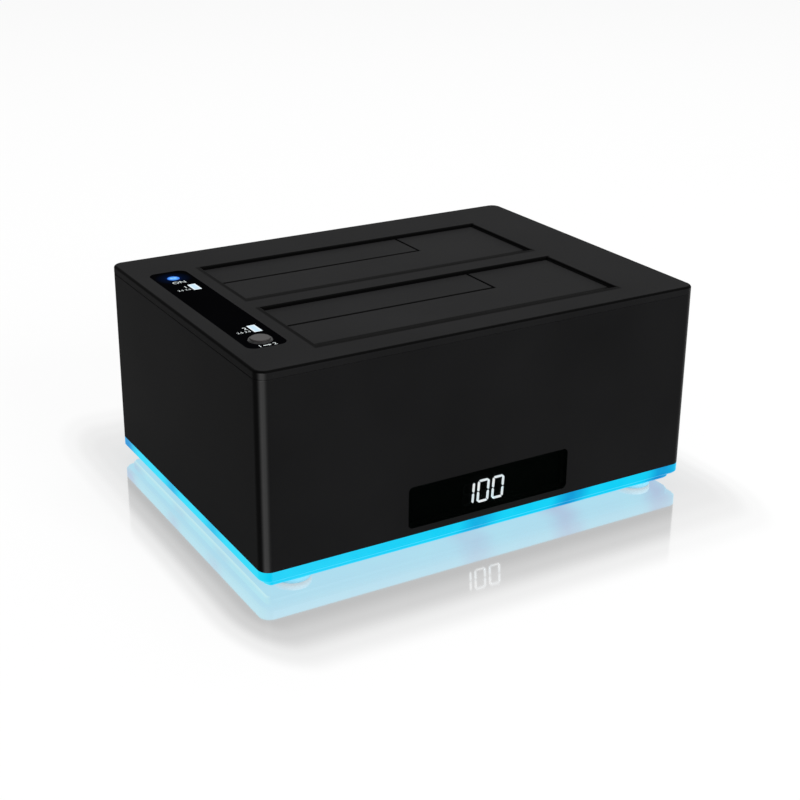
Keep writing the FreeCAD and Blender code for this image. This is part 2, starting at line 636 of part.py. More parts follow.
def about(middle, half):
    """The two sides that lie half a width from a middle."""
    return f"{middle} - ({half})", f"{middle} + ({half})"


# ---------------------------------------------------------------------------------------------------------
# Outer shell: four walls, the display's seat in front and the connector recess behind
# ---------------------------------------------------------------------------------------------------------
outer_shell = add_body("outer_shell")
ring = add_sketch(outer_shell, "XY_Plane", "at.base_top")
draw_rounded(ring, *about("0", "at.half_width"), *about("0", "at.half_depth"), "dims.corner_radius")
inner_sides = about("0", "at.inner_x") + about("0", "at.inner_y")
draw_rounded(ring, *inner_sides, "dims.corner_radius - dims.shell_wall")
add_pad(ring, "at.seam - at.base_top", 1)
add_chamfer(
    outer_shell,
    "dims.seam_chamfer",
    lambda box: at_level(box, "at.seam") and on_rim(box, "at.half_width", "at.half_depth"),
)

seat = add_sketch(outer_shell, "XZ_Plane", "-at.half_depth")
window_sides = about("dims.window_x", "dims.window_width / 2")
window_sides += about("at.window_level", "dims.window_height / 2")
draw_rounded(seat, *window_sides, "dims.window_radius")
add_pocket(seat, "dims.window_seat", 1)
opening = add_sketch(outer_shell, "XZ_Plane", "at.window_ledge_y")
opening_sides = about("dims.window_x", "at.opening_half_width")
opening_sides += about("at.window_level", "at.opening_half_height")
draw_rectangle(opening, *opening_sides)
add_pocket(opening, "dims.shell_wall", 1)

recess_sides = about("0", "dims.recess_half_width") + ("at.recess_low", "at.recess_high")
thick_wall = add_sketch(outer_shell, "XZ_Plane", "at.panel_inside")
draw_rectangle(thick_wall, *grown(*recess_sides, "dims.panel_margin"))
add_pad(thick_wall, "dims.panel_thickness", 1)
recess = add_sketch(outer_shell, "XZ_Plane", "at.half_depth")
draw_rounded(recess, *recess_sides, "dims.recess_radius")
add_pocket(recess, "dims.recess_depth", -1)
sockets = add_sketch(outer_shell, "XZ_Plane", "at.recess_floor")
usb_hole = about("dims.usb_x", "dims.usb_opening_width / 2")
usb_hole += about("at.usb_level", "dims.usb_opening_height / 2")
draw_rounded(sockets, *usb_hole, "dims.usb_radius")
draw_circle(sockets, "dims.jack_x", "at.jack_level", "dims.jack_nose + dims.jack_play")
switch_body = about("dims.switch_x", "dims.switch_width / 2")
switch_body += about("at.switch_level", "dims.switch_height / 2")
draw_rectangle(sockets, *grown(*switch_body, "dims.switch_play"))
add_pocket(sockets, "dims.panel_thickness", -1)

# ---------------------------------------------------------------------------------------------------------
# Top cover: plate with the two slots, their collars and hinge seats, the panel's pocket and the long posts
# ---------------------------------------------------------------------------------------------------------
top_cover = add_body("top_cover")
plate = add_sketch(top_cover, "XY_Plane", "at.seam")
draw_rounded(plate, *about("0", "at.half_width"), *about("0", "at.half_depth"), "dims.corner_radius")
add_pad(plate, "dims.cover_thickness", 1)
add_fillet(
    top_cover,
    "dims.cover_round",
    lambda box: at_level(box, "at.top") and on_rim(box, "at.half_width", "at.half_depth"),
)
add_chamfer(
    top_cover,
    "dims.seam_chamfer",
    lambda box: at_level(box, "at.seam") and on_rim(box, "at.half_width", "at.half_depth"),
)

lip = add_sketch(top_cover, "XY_Plane", "at.seam")
lip_radius = "dims.corner_radius - dims.shell_wall"
lip_sides = about("0", "at.inner_x - dims.lip_gap") + about("0", "at.inner_y - dims.lip_gap")
draw_rounded(lip, *lip_sides, lip_radius)
draw_rectangle(lip, *grown(*lip_sides, "-dims.lip_wall"))
add_pad(lip, "dims.lip_height", -1)

collars = add_sketch(top_cover, "XY_Plane", "at.collar_bottom")
bosses = add_sketch(top_cover, "XY_Plane", "at.collar_bottom")
slots = add_sketch(top_cover, "XY_Plane", "at.top")
for side, sign in SIDES:
    slot_sides = ("at.slot_left", "at.slot_right", f"at.{side}_near", f"at.{side}_far")
    draw_rectangle(collars, *grown(*slot_sides, "dims.collar_wall"))
    draw_rectangle(slots, *slot_sides)
    for ear in ("at.ear_left", "at.ear_right"):
        draw_octagon(bosses, ear, f"at.{side}_middle", "dims.boss_radius")
add_pad(collars, "dims.collar_height", 1)
add_pad(bosses, "dims.collar_height", 1)
add_pocket(slots, "dims.cover_thickness + dims.collar_height", -1)
slot_ends = (number("at.slot_left") - 0.01, number("at.slot_right") + 0.01)
add_fillet(
    top_cover,
    "dims.slot_round",
    lambda box: at_level(box, "at.top") and box.XMin > slot_ends[0] and box.XMax < slot_ends[1],
)

# long posts for the base screws and short ones for the indicator board
posts = add_sketch(top_cover, "XY_Plane", "at.chassis_top")
post_holes = add_sketch(top_cover, "XY_Plane", "at.chassis_top")
for x, y in four_corners("at.foot_x", "at.foot_y"):
    draw_octagon(posts, x, y, "dims.post_radius")
    draw_octagon(post_holes, x, y, "dims.screw_radius + dims.screw_play")
add_pad(posts, "at.seam - at.chassis_top", 1)
add_pocket(post_holes, "dims.screw_bite", 1)
indicator_posts = add_sketch(top_cover, "XY_Plane", "at.indicator_top")
indicator_holes = add_sketch(top_cover, "XY_Plane", "at.indicator_top")
INDICATOR_SCREWS = about("dims.panel_y", "dims.indicator_post")
for y in INDICATOR_SCREWS:
    draw_octagon(indicator_posts, "at.panel_x", y, "dims.indicator_post_radius")
    draw_octagon(indicator_holes, "at.panel_x", y, "dims.small_screw_radius + dims.screw_play")
add_pad(indicator_posts, "dims.indicator_drop", 1)
add_pocket(indicator_holes, "dims.small_screw_bite", 1)
boss_holes = add_sketch(top_cover, "XY_Plane", "at.collar_bottom")
for side, sign in SIDES:
    for ear in ("at.ear_left", "at.ear_right"):
        draw_octagon(boss_holes, ear, f"at.{side}_middle", "dims.small_screw_radius + dims.screw_play")
add_pocket(boss_holes, "dims.small_screw_bite", 1)

# the eyes that hold the small flaps' pins, then the pins' seats and the notches for the stop tabs
for side, sign in SIDES:
    eye = add_sketch(top_cover, "YZ_Plane", "at.eye_left")
    pin_spot = (f"at.{side}_small_pin", "at.pin_level")
    arm = (f"at.{side}_small_pin", f"at.{side}_far + dims.collar_wall / 2")
    draw_rectangle(eye, *arm, *about("at.pin_level", "dims.eye_radius"))
    add_pad(eye, "dims.eye_width", 1)
    eye_end = add_sketch(top_cover, "YZ_Plane", "at.eye_left")
    draw_circle(eye_end, *pin_spot, "dims.eye_radius")
    add_pad(eye_end, "dims.eye_width", 1)
    seats = add_sketch(top_cover, "YZ_Plane", "at.slot_left - dims.collar_wall")
    draw_octagon(seats, *pin_spot, "dims.pin_radius + dims.screw_play")
    add_pocket(seats, "at.eye_right - at.slot_left + dims.collar_wall", 1)
    long_seat = add_sketch(top_cover, "YZ_Plane", "at.slot_left - dims.collar_wall")
    draw_octagon(long_seat, f"at.{side}_large_pin", "at.pin_level", "dims.pin_radius + dims.screw_play")
    add_pocket(long_seat, "at.slot_right - at.slot_left + 2 * dims.collar_wall", 1)
notches = add_sketch(top_cover, "XY_Plane", "at.seam")
inner_reach = "dims.tab_offset - dims.tab_width / 2 - dims.notch_lead"
outer_reach = "dims.tab_offset + dims.tab_width / 2 + dims.notch_play"
left_notch = ("at.slot_left - at.notch_depth", "at.slot_left + dims.flap_gap")
right_notch = ("at.slot_right - dims.flap_gap", "at.slot_right + at.notch_depth")
for side, sign in SIDES:
    large = (f"at.{side}_large_pin + {inner_reach}", f"at.{side}_large_pin + {outer_reach}")
    small = (f"at.{side}_small_pin - ({outer_reach})", f"at.{side}_small_pin - ({inner_reach})")
    draw_rectangle(notches, *left_notch, *large)
    draw_rectangle(notches, *right_notch, *large)
    draw_rectangle(notches, *left_notch, *small)
add_pocket(notches, "dims.collar_height", -1)

# the control panel's pocket and the holes in its floor
panel_sides = ("at.panel_left", "at.panel_right", "at.panel_front", "at.panel_back")
panel_pocket = add_sketch(top_cover, "XY_Plane", "at.top")
draw_rounded(panel_pocket, *grown(*panel_sides, "dims.panel_gap"), "dims.panel_radius + dims.panel_gap")
add_pocket(panel_pocket, "dims.panel_pocket", -1)
STATUS = {
    side: ("at.status_left", "at.status_right") + about(f"at.status_{side}_y", "dims.status_length / 2")
    for side, sign in SIDES
}
pipe_holes = add_sketch(top_cover, "XY_Plane", "at.panel_floor")
draw_octagon(pipe_holes, "at.panel_x", "at.lamp_y", "dims.lamp_stem_radius + dims.lens_gap")
draw_octagon(pipe_holes, "at.panel_x", "at.button_y", "at.ring_tube + dims.screw_play")
for sides in STATUS.values():
    draw_rectangle(pipe_holes, *grown(*sides, "dims.lens_gap - dims.status_step"))
add_pocket(pipe_holes, "at.panel_floor - at.seam", -1)

# ---------------------------------------------------------------------------------------------------------
# Lit base, its light strips, feet, base screws and the chassis plate above it
# ---------------------------------------------------------------------------------------------------------
light_base = add_body("light_base")
lit_plate = add_sketch(light_base, "XY_Plane", "at.plate_bottom")
draw_rounded(lit_plate, *about("0", "at.half_width"), *about("0", "at.half_depth"), "dims.corner_radius")
add_pad(lit_plate, "dims.plate_height", 1)
add_chamfer(
    light_base,
    "dims.base_bevel",
    lambda box: at_level(box, "at.plate_bottom") and on_rim(box, "at.half_width", "at.half_depth"),
)
tier_x, tier_y = "at.half_width - dims.tier_inset", "at.half_depth - dims.tier_inset"
tier = add_sketch(light_base, "XY_Plane", "dims.foot_height")
draw_rounded(tier, *about("0", tier_x), *about("0", tier_y), "dims.tier_radius")
add_pad(tier, "dims.tier_height", 1)
add_chamfer(
    light_base,
    "dims.base_bevel",
    lambda box: at_level(box, "dims.foot_height") and on_rim(box, tier_x, tier_y),
)
base_holes = add_sketch(light_base, "XY_Plane", "at.base_top")
head_holes = add_sketch(light_base, "XY_Plane", "dims.foot_height")
for x, y in four_corners("at.foot_x", "at.foot_y"):
    draw_octagon(base_holes, x, y, "dims.screw_radius + dims.screw_play")
    draw_octagon(head_holes, x, y, "dims.screw_head_radius + dims.screw_play")
add_pocket(base_holes, "at.base_top - dims.foot_height", -1)
add_pocket(head_holes, "dims.head_room + dims.screw_head_height", 1)

channel_half_x = "at.foot_x - dims.strip_end"
channel_half_y = "at.foot_y - dims.strip_end"
half_channel = "dims.channel_width / 2"
CHANNELS = [about("0", channel_half_x) + about(y, half_channel) for y in ("at.channel_y", "-at.channel_y")]
CHANNELS += [about(x, half_channel) + about("0", channel_half_y) for x in ("at.channel_x", "-at.channel_x")]
channels = add_sketch(light_base, "XY_Plane", "at.base_top")
for sides in CHANNELS:
    draw_rectangle(channels, *sides)
add_pocket(channels, "dims.channel_depth", -1)

strip_heights = ("at.channel_bottom", "at.channel_bottom + dims.strip_thickness")
strips = doc.addObject("Part::Compound", "led_strips")
strips.Links = [
    add_box(f"led_strip_{index}", *grown(*sides, "-dims.strip_gap"), *strip_heights)
    for index, sides in enumerate(CHANNELS, start=1)
]
add_node(strips, "led_strips")
half_chip = "dims.chip_size / 2"
light_chip = add_box("light_chip", *about("0", half_chip), *about("0", half_chip), "0", "dims.chip_height")
chip_level = "at.channel_bottom + dims.strip_thickness"
CHIP_SHARES = (-0.85, -0.51, -0.17, 0.17, 0.51, 0.85)       # of a strip's half length
chip_spots = [
    (f"{share} * ({channel_half_x})", y, chip_level)
    for y in ("at.channel_y", "-at.channel_y")
    for share in CHIP_SHARES
]
chip_spots += [
    (x, f"{share} * ({channel_half_y})", chip_level)
    for x in ("at.channel_x", "-at.channel_x")
    for share in CHIP_SHARES
]
add_group("led_chips", [(light_chip, spot) for spot in chip_spots])

foot = add_body("foot", is_node=False)
sole = add_sketch(foot, "XY_Plane", "0")
draw_circle(sole, "0", "0", "dims.foot_radius")
add_pad(sole, "dims.foot_height", 1)
foot_spots = [(x, y, "0") for x, y in four_corners("at.foot_x", "at.foot_y")]
add_group("rubber_feet", [(foot, spot) for spot in foot_spots])


def add_prism(label, z, radius, height):
    """A six-sided bar upwards from a height on the Z axis."""
    prism = doc.addObject("Part::Prism", label)
    prism.Polygon = 6
    prism.setExpression("Circumradius", radius)
    prism.setExpression("Height", height)
    place(prism, "0", "0", z)
    return prism


def add_screw(label, radius, head_radius, head_height, length):
    """A master screw, head's underside at the origin, shank upwards and six-sided all along."""
    shank = add_prism(f"{label}_shank", "0", radius, length)
    head = add_prism(f"{label}_head", minus(head_height), head_radius, head_height)
    return add_fuse(label, shank, head)


head_seat = "dims.foot_height + dims.head_room + dims.screw_head_height"
base_screw = add_screw(
    "base_screw",
    "dims.screw_radius",
    "dims.screw_head_radius",
    "dims.screw_head_height",
    f"at.chassis_top + dims.screw_bite - ({head_seat})",
)
add_group("base_screws", [(base_screw, (x, y, head_seat)) for x, y, z in foot_spots])

chassis_plate = add_body("chassis_plate")
floor_plate = add_sketch(chassis_plate, "XY_Plane", "at.base_top")
floor_sides = about("0", "at.inner_x - dims.chassis_gap") + about("0", "at.inner_y - dims.chassis_gap")
draw_rounded(floor_plate, *floor_sides, lip_radius)
for x, y in four_corners("at.foot_x", "at.foot_y"):
    draw_octagon(floor_plate, x, y, "dims.screw_radius + dims.screw_play")
add_pad(floor_plate, "dims.chassis_thickness", 1)
standoffs = add_sketch(chassis_plate, "XY_Plane", "at.chassis_top")
standoff_holes = add_sketch(chassis_plate, "XY_Plane", "at.board_bottom")
BOARD_HOLES = [(x, y) for x in ("at.hole_x", "-at.hole_x") for y in ("at.hole_near", "at.hole_far")]
for x, y in BOARD_HOLES:
    draw_octagon(standoffs, x, y, "dims.standoff_radius")
    draw_octagon(standoff_holes, x, y, "dims.small_screw_radius + dims.screw_play")
add_pad(standoffs, "dims.standoff_height", 1)
add_pocket(standoff_holes, "dims.small_screw_bite", -1)

# ---------------------------------------------------------------------------------------------------------
# Main board with its chips and capacitors
# ---------------------------------------------------------------------------------------------------------
main_board = add_body("main_board")
board = add_sketch(main_board, "XY_Plane", "at.board_bottom")
draw_rectangle(board, *about("0", "at.board_half_width"), "at.board_near", "at.board_far")
for x, y in BOARD_HOLES:
    draw_octagon(board, x, y, "dims.small_screw_radius + dims.screw_play")
add_pad(board, "dims.board_thickness", 1)


def add_small_screw(label, length):
    head = ("dims.small_head_radius", "dims.small_head_height")
    return add_screw(label, "dims.small_screw_radius", *head, length)


# a screw that points down is the same screw turned over
board_screw = add_small_screw("board_screw", "dims.board_thickness + dims.small_screw_bite")
board_screw.Placement.Rotation = Rotation(Vector(1, 0, 0), 180)
BOARD_SCREW_SPOTS = [(x, y, "at.board_top") for x, y in BOARD_HOLES]
# chips and capacitors: places as shares of the board's half width, and of its depth from the front
CHIPS = (
    (-0.18, 0.52, "dims.bridge_chip"),
    (0.43, 0.46, "dims.small_chip"),
    (0.71, 0.27, "dims.small_chip"),
    (0.36, 0.79, "dims.small_chip"),
)
chips = doc.addObject("Part::Compound", "bridge_chips")
for across, along, size in CHIPS:
    x, y = f"{across} * at.board_half_width", f"at.board_near + {along} * (at.board_far - at.board_near)"
    sides = about(x, f"{size} / 2") + about(y, f"{size} / 2")
    chips.Links += [add_box("chip", *sides, "at.board_top", "at.board_top + dims.chip_rise")]
add_node(chips, "bridge_chips")
capacitor = add_cylinder("capacitor", "0", "0", "0", "dims.capacitor_radius", "dims.capacitor_height")
beside = "dims.capacitor_gap + dims.capacitor_radius"
CAPACITOR_X = (
    f"dims.switch_x + dims.switch_width / 2 + {beside}",
    f"dims.usb_x - dims.usb_width / 2 - ({beside})",
    f"dims.jack_x - dims.jack_width / 2 - ({beside})",
)
capacitor_spots = [(x, "at.board_far - dims.capacitor_inset", "at.board_top") for x in CAPACITOR_X]
add_group("capacitors", [(capacitor, spot) for spot in capacitor_spots])

# ---------------------------------------------------------------------------------------------------------
# Two bays: drive bay, socket, contacts, two flaps, their pins and springs
# ---------------------------------------------------------------------------------------------------------
contact = add_box(
    "contact",
    *about("0", "dims.contact_width / 2"),
    "0",
    "dims.contact_thickness",
    "0",
    "dims.cavity_depth - dims.contact_drop",
)
SIGNAL_CONTACTS, POWER_CONTACTS = 7, 15
CHORDS = 8                      # straight chords in a turn of a spring
RIGHT_CORNERS = 1               # how a sweep passes from chord to chord


def add_drive_bay(side):
    """An open box under the slot, wider at its mouth, with screw ears, guide ribs and the socket's window."""
    middle, low, high = f"at.{side}_middle", f"at.{side}_near", f"at.{side}_far"
    slot = ("at.slot_left", "at.slot_right", low, high)
    mouth = ("at.slot_left - dims.mouth_relief", "at.slot_right + dims.mouth_relief", low, high)
    bay = add_body(f"drive_bay_{side}")
    walls = add_sketch(bay, "XY_Plane", "at.bay_bottom")
    draw_rectangle(walls, *grown(*slot, "dims.bay_wall"))
    add_pad(walls, "at.collar_bottom - at.bay_bottom", 1)
    mouth_block = add_sketch(bay, "XY_Plane", "at.collar_bottom")
    draw_rectangle(mouth_block, *grown(*mouth, "dims.bay_wall"))
    add_pad(mouth_block, "dims.mouth_depth + dims.bay_wall", -1)
    ears = add_sketch(bay, "XY_Plane", "at.collar_bottom")
    ear_sides = about(middle, "dims.ear_width / 2")
    draw_rectangle(ears, "at.bay_left - dims.ear_length", "at.bay_left + dims.bay_wall / 2", *ear_sides)
    draw_rectangle(ears, "at.bay_right - dims.bay_wall / 2", "at.bay_right + dims.ear_length", *ear_sides)
    add_pad(ears, "dims.ear_thickness", -1)
    inside = add_sketch(bay, "XY_Plane", "at.collar_bottom")
    draw_rectangle(inside, *slot)
    add_pocket(inside, "at.collar_bottom - at.bay_inside", -1)
    widening = add_sketch(bay, "XY_Plane", "at.collar_bottom")
    draw_rectangle(widening, *mouth)
    add_pocket(widening, "dims.mouth_depth", -1)
    ear_holes = add_sketch(bay, "XY_Plane", "at.collar_bottom")
    for ear in ("at.ear_left", "at.ear_right"):
        draw_octagon(ear_holes, ear, middle, "dims.small_screw_radius + dims.screw_play")
    add_pocket(ear_holes, "dims.ear_thickness", -1)
    half_rib = "dims.rib_width / 2"
    back_ribs = add_sketch(bay, "XY_Plane", "at.bay_inside")
    front_ribs = add_sketch(bay, "XY_Plane", "at.bay_inside")
    for x in ("at.slot_left + dims.rib_inset", "at.slot_centre", "at.slot_right - dims.rib_inset"):
        across = about(x, half_rib)
        draw_rectangle(back_ribs, *across, f"at.{side}_drive_back", f"{high} + dims.bay_wall / 2")
        draw_rectangle(front_ribs, *across, f"{low} - dims.bay_wall / 2", f"at.{side}_drive_front")
    add_pad(back_ribs, "dims.back_rib_height", 1)
    add_pad(front_ribs, "dims.front_rib_height", 1)
    socket_window = add_sketch(bay, "XY_Plane", "at.bay_bottom")
    draw_rectangle(socket_window, *grown(*socket_sides(side), "dims.window_gap"))
    add_pocket(socket_window, "dims.bay_floor", 1)


def socket_sides(side):
    along = about("at.socket_x", "dims.socket_length / 2")
    return along + about(f"at.{side}_socket", "dims.socket_width / 2")


def add_drive_socket(side):
    """The upright drive connector on the main board, its L-shaped cavities and its contacts."""
    middle = f"at.{side}_socket"
    inner, outer = f"{middle} - dims.cavity_width / 2", f"{middle} + dims.cavity_width / 2"
    socket = add_body(f"sata_socket_{side}")
    tower = add_sketch(socket, "XY_Plane", "at.board_top")
    draw_rectangle(tower, *socket_sides(side))
    add_pad(tower, "at.socket_top - at.board_top", 1)
    flange = add_sketch(socket, "XY_Plane", "at.board_top")
    draw_rectangle(flange, *grown(*socket_sides(side), "dims.socket_flange"))
    add_pad(flange, "dims.socket_flange_height", 1)
    cavities = add_sketch(socket, "XY_Plane", "at.socket_top")
    for left, length in (("at.signal_left", "dims.signal_length"), ("at.power_left", "dims.power_length")):
        corners = [(left, inner), (f"{left} + {length}", inner), (f"{left} + {length}", outer)]
        corners += [(f"{left} + dims.cavity_width", outer)]
        corners += [(f"{left} + dims.cavity_width", f"{outer} + dims.cavity_key")]
        corners += [(left, f"{outer} + dims.cavity_key")]
        draw_outline(cavities, corners)
    add_pocket(cavities, "dims.cavity_depth", -1)
    spots = []
    for left, length, count in (
        ("at.signal_left", "dims.signal_length", SIGNAL_CONTACTS),
        ("at.power_left", "dims.power_length", POWER_CONTACTS),
    ):
        for index in range(count):
            shift = index - (count - 1) / 2
            x = f"{left} + {length} / 2 + {shift} * dims.contact_pitch"
            spots.append((contact, (x, inner, "at.cavity_bottom")))
    add_group(f"sata_contacts_{side}", spots)


def add_flap(label, outline, inner_outline, pin, hinge_ends, gaps, tabs):
    """A flap: plate, rim, half-round hinge barrel with its bore, gaps in the barrel, and stop tabs."""
    flap = add_body(label)
    slab = add_sketch(flap, "XY_Plane", "at.skirt_bottom")
    draw_outline(slab, outline)
    add_pad(slab, "at.flap_top - at.skirt_bottom", 1)
    add_fillet(flap, "dims.flap_round", lambda box: at_level(box, "at.flap_top"))
    hollow = add_sketch(flap, "XY_Plane", "at.skirt_bottom")
    draw_outline(hollow, inner_outline)
    add_pocket(hollow, "dims.skirt_height", 1)
    left, right = hinge_ends
    barrel_web = add_sketch(flap, "YZ_Plane", left)
    draw_rectangle(barrel_web, *about(pin, "dims.hinge_radius"), "at.pin_level", "at.flap_bottom")
    add_pad(barrel_web, f"{right} - ({left})", 1)
    barrel = add_sketch(flap, "YZ_Plane", left)
    draw_circle(barrel, pin, "at.pin_level", "dims.hinge_radius")
    add_pad(barrel, f"{right} - ({left})", 1)
    relief = add_sketch(flap, "XY_Plane", "at.pin_level - dims.hinge_radius")
    for sides in gaps:
        draw_rectangle(relief, *sides)
    add_pocket(relief, "at.flap_bottom - at.pin_level + dims.hinge_radius", 1)
    bore = add_sketch(flap, "YZ_Plane", left)
    draw_circle(bore, pin, "at.pin_level", "dims.pin_radius + dims.pin_play")
    add_pocket(bore, f"{right} - ({left})", 1)
    stops = add_sketch(flap, "XY_Plane", "at.skirt_bottom")
    for sides in tabs:
        draw_rectangle(stops, *sides)
    add_pad(stops, "at.tab_top - at.skirt_bottom", 1)


def tab_sides(left, right, pin, sign):
    y0, y1 = about(f"{pin} {sign} dims.tab_offset", "dims.tab_width / 2")
    return (left, right, y0, y1)


def inset(corners, directions):
    """An outline's corners moved inwards by the rim's width; a direction pair of signs for each corner."""
    return [
        (f"{x} {dx} dims.skirt_width", f"{y} {dy} dims.skirt_width")
        for (x, y), (dx, dy) in zip(corners, directions)
    ]


def add_large_flap(side):
    """The L-shaped flap, hinged along the front of the slot."""
    pin = f"at.{side}_large_pin"
    front, back = f"at.{side}_near + dims.flap_gap", f"at.{side}_far - dims.flap_gap"
    split = f"at.{side}_split - dims.flap_gap / 2"
    corners = [("at.flap_left", front), ("at.flap_right", front), ("at.flap_right", back)]
    corners += [("at.large_inner", back), ("at.large_inner", split), ("at.flap_left", split)]
    inwards = ["++", "-+", "--", "+-", "+-", "+-"]
    gap = about("at.large_spring_x", "dims.spring_gap / 2") + about(pin, "dims.hinge_radius")
    left_tab = tab_sides("at.slot_left - dims.tab_reach", "at.flap_left + dims.skirt_width", pin, "+")
    right_tab = tab_sides("at.flap_right - dims.skirt_width", "at.slot_right + dims.tab_reach", pin, "+")
    add_flap(
        f"large_flap_{side}",
        corners,
        inset(corners, inwards),
        pin,
        ("at.flap_left", "at.flap_right"),
        [gap],
        [left_tab, right_tab],
    )
    add_pin(f"large_hinge_pin_{side}", pin, "at.slot_right + dims.collar_wall")
    add_spring(f"large_flap_spring_{side}", "at.large_spring_x", pin, 1)


def add_small_flap(side):
    """The small flap, hinged along the back of the slot; its barrel stops short of the eye on the cover."""
    pin = f"at.{side}_small_pin"
    front, back = f"at.{side}_split + dims.flap_gap / 2", f"at.{side}_far - dims.flap_gap"
    left, right = "at.flap_left", "at.small_right"
    corners = [(left, front), (right, front), (right, back), (left, back)]
    inwards = ["++", "-+", "--", "+-"]
    gap = about("at.small_spring_x", "dims.spring_gap / 2") + about(pin, "dims.hinge_radius")
    eye_room = ("at.barrel_end", "at.small_right", f"{pin} - dims.hinge_radius - dims.eye_clearance", back)
    left_tab = tab_sides("at.slot_left - dims.tab_reach", "at.flap_left + dims.skirt_width", pin, "-")
    add_flap(
        f"small_flap_{side}",
        corners,
        inset(corners, inwards),
        pin,
        ("at.flap_left", "at.barrel_end"),
        [gap, eye_room],
        [left_tab],
    )
    add_pin(f"small_hinge_pin_{side}", pin, "at.eye_right")
    add_spring(f"small_flap_spring_{side}", "at.small_spring_x", pin, -1)


def add_pin(label, y, right):
    left = "at.slot_left - dims.collar_wall"
    length = f"{right} - ({left})"
    add_node(add_cylinder(label, left, y, "at.pin_level", "dims.pin_radius", length, Vector(1, 0, 0)), label)


def add_spring(label, x, y, way):
    """A torsion spring round the pin: one leg under the flap, a coil, and one leg against the slot's wall.

    The wire follows straight chords, which keeps this tiny piece light.
    """
    middle = Vector(number(x), number(y), number("at.pin_level"))
    turns, pitch, radius = number("dims.coil_turns"), number("dims.coil_pitch"), number("dims.coil_radius")
    wire_radius = number("dims.wire_radius")
    half_coil = turns * pitch / 2
    under_flap = number("at.flap_bottom - at.pin_level") - wire_radius
    points = [Vector(-half_coil, way * number("dims.spring_leg"), under_flap)]
    for step in range(int(turns * CHORDS) + 1):
        angle = 2 * math.pi * step / CHORDS
        side, rise = -way * radius * math.sin(angle), radius * math.cos(angle)
        points.append(Vector(step * pitch / CHORDS - half_coil, side, rise))
    points.append(Vector(half_coil, -way * number("dims.hinge_radius + dims.flap_gap"), radius))
    section = Part.makePolygon([
        Vector(wire_radius * math.cos(corner * math.pi / 2), wire_radius * math.sin(corner * math.pi / 2), 0)
        for corner in range(5)
    ])
    section.Placement = FreeCAD.Placement(points[0], Rotation(Vector(0, 0, 1), points[1] - points[0]))
    sweep = Part.BRepOffsetAPI.MakePipeShell(Part.makePolygon(points))
    sweep.setTransitionMode(RIGHT_CORNERS)
    sweep.add(section)
    sweep.build()
    sweep.makeSolid()
    spring = doc.addObject("Part::Feature", label)
    spring.Shape = sweep.shape()
    spring.Placement.Base = middle
    add_node(spring, label)


for side, sign in SIDES:
    add_drive_bay(side)
    add_drive_socket(side)
    add_large_flap(side)
    add_small_flap(side)

# ---------------------------------------------------------------------------------------------------------
# Screws inside the housing
# ---------------------------------------------------------------------------------------------------------
add_group("board_screws", [(board_screw, spot) for spot in BOARD_SCREW_SPOTS])
bay_screw = add_small_screw("bay_screw", "dims.ear_thickness + dims.small_screw_bite")
bay_spots = [
    (bay_screw, (ear, f"at.{side}_middle", "at.collar_bottom - dims.ear_thickness"))
    for side, sign in SIDES
    for ear in ("at.ear_left", "at.ear_right")
]
add_group("bay_screws", bay_spots)
panel_screw = add_small_screw("panel_screw", "dims.indicator_thickness + dims.small_screw_bite")
screw_level = "at.indicator_top - dims.indicator_thickness"
add_group("indicator_screws", [(panel_screw, ("at.panel_x", y, screw_level)) for y in INDICATOR_SCREWS])

# ---------------------------------------------------------------------------------------------------------
# Control panel: face, lamp, status windows, clone button in its ring, and the board below
# ---------------------------------------------------------------------------------------------------------
control_panel = add_body("control_panel")
panel_face = add_sketch(control_panel, "XY_Plane", "at.panel_floor")
draw_rounded(panel_face, *panel_sides, "dims.panel_radius")
draw_circle(panel_face, "at.panel_x", "at.lamp_y", "dims.lamp_radius + dims.lens_gap")
draw_circle(panel_face, "at.panel_x", "at.button_y", "at.ring_tube + dims.screw_play")
for sides in STATUS.values():
    draw_rectangle(panel_face, *grown(*sides, "dims.lens_gap"))
add_pad(panel_face, "at.panel_face - at.panel_floor", 1)

lamp_spot = ("at.panel_x", "at.lamp_y")
lamp_head = add_cylinder(
    "lamp_head", *lamp_spot, "at.panel_floor", "dims.lamp_radius", "at.panel_face - at.panel_floor"
)
lamp_stem = add_cylinder(
    "lamp_stem", *lamp_spot, "at.pipe_bottom", "dims.lamp_stem_radius", "at.panel_floor - at.pipe_bottom"
)
add_node(add_fuse("power_lamp", lamp_head, lamp_stem), "power_lamp")
for side, sides in STATUS.items():
    head = add_box(f"status_head_{side}", *sides, "at.panel_floor", "at.panel_face")
    stem_sides = grown(*sides, "-dims.status_step")
    stem = add_box(f"status_stem_{side}", *stem_sides, "at.pipe_bottom", "at.panel_floor")
    add_node(add_fuse(f"status_window_{side}", head, stem), f"status_window_{side}")

indicator_board = add_body("indicator_board")
indicator = add_sketch(indicator_board, "XY_Plane", "at.indicator_top")
indicator_sides = about("at.panel_x", "at.indicator_half_width")
indicator_sides += about("dims.panel_y", "at.indicator_half_length")
draw_rectangle(indicator, *indicator_sides)
for y in INDICATOR_SCREWS:
    draw_octagon(indicator, "at.panel_x", y, "dims.small_screw_radius + dims.screw_play")
add_pad(indicator, "dims.indicator_thickness", -1)
half_lamp = "dims.lamp_chip / 2"
lamp_sides = about("0", half_lamp)
lamp_chip = add_box(
    "lamp_chip_master", *lamp_sides, *lamp_sides, "0", "at.pipe_bottom - at.indicator_top"
)
status_middle = "at.panel_x + dims.status_x"
lamp_spots = [("at.panel_x", "at.lamp_y"), (status_middle, "at.status_rear_y")]
lamp_spots += [(status_middle, "at.status_front_y")]
add_group("indicator_leds", [(lamp_chip, (x, y, "at.indicator_top")) for x, y in lamp_spots])


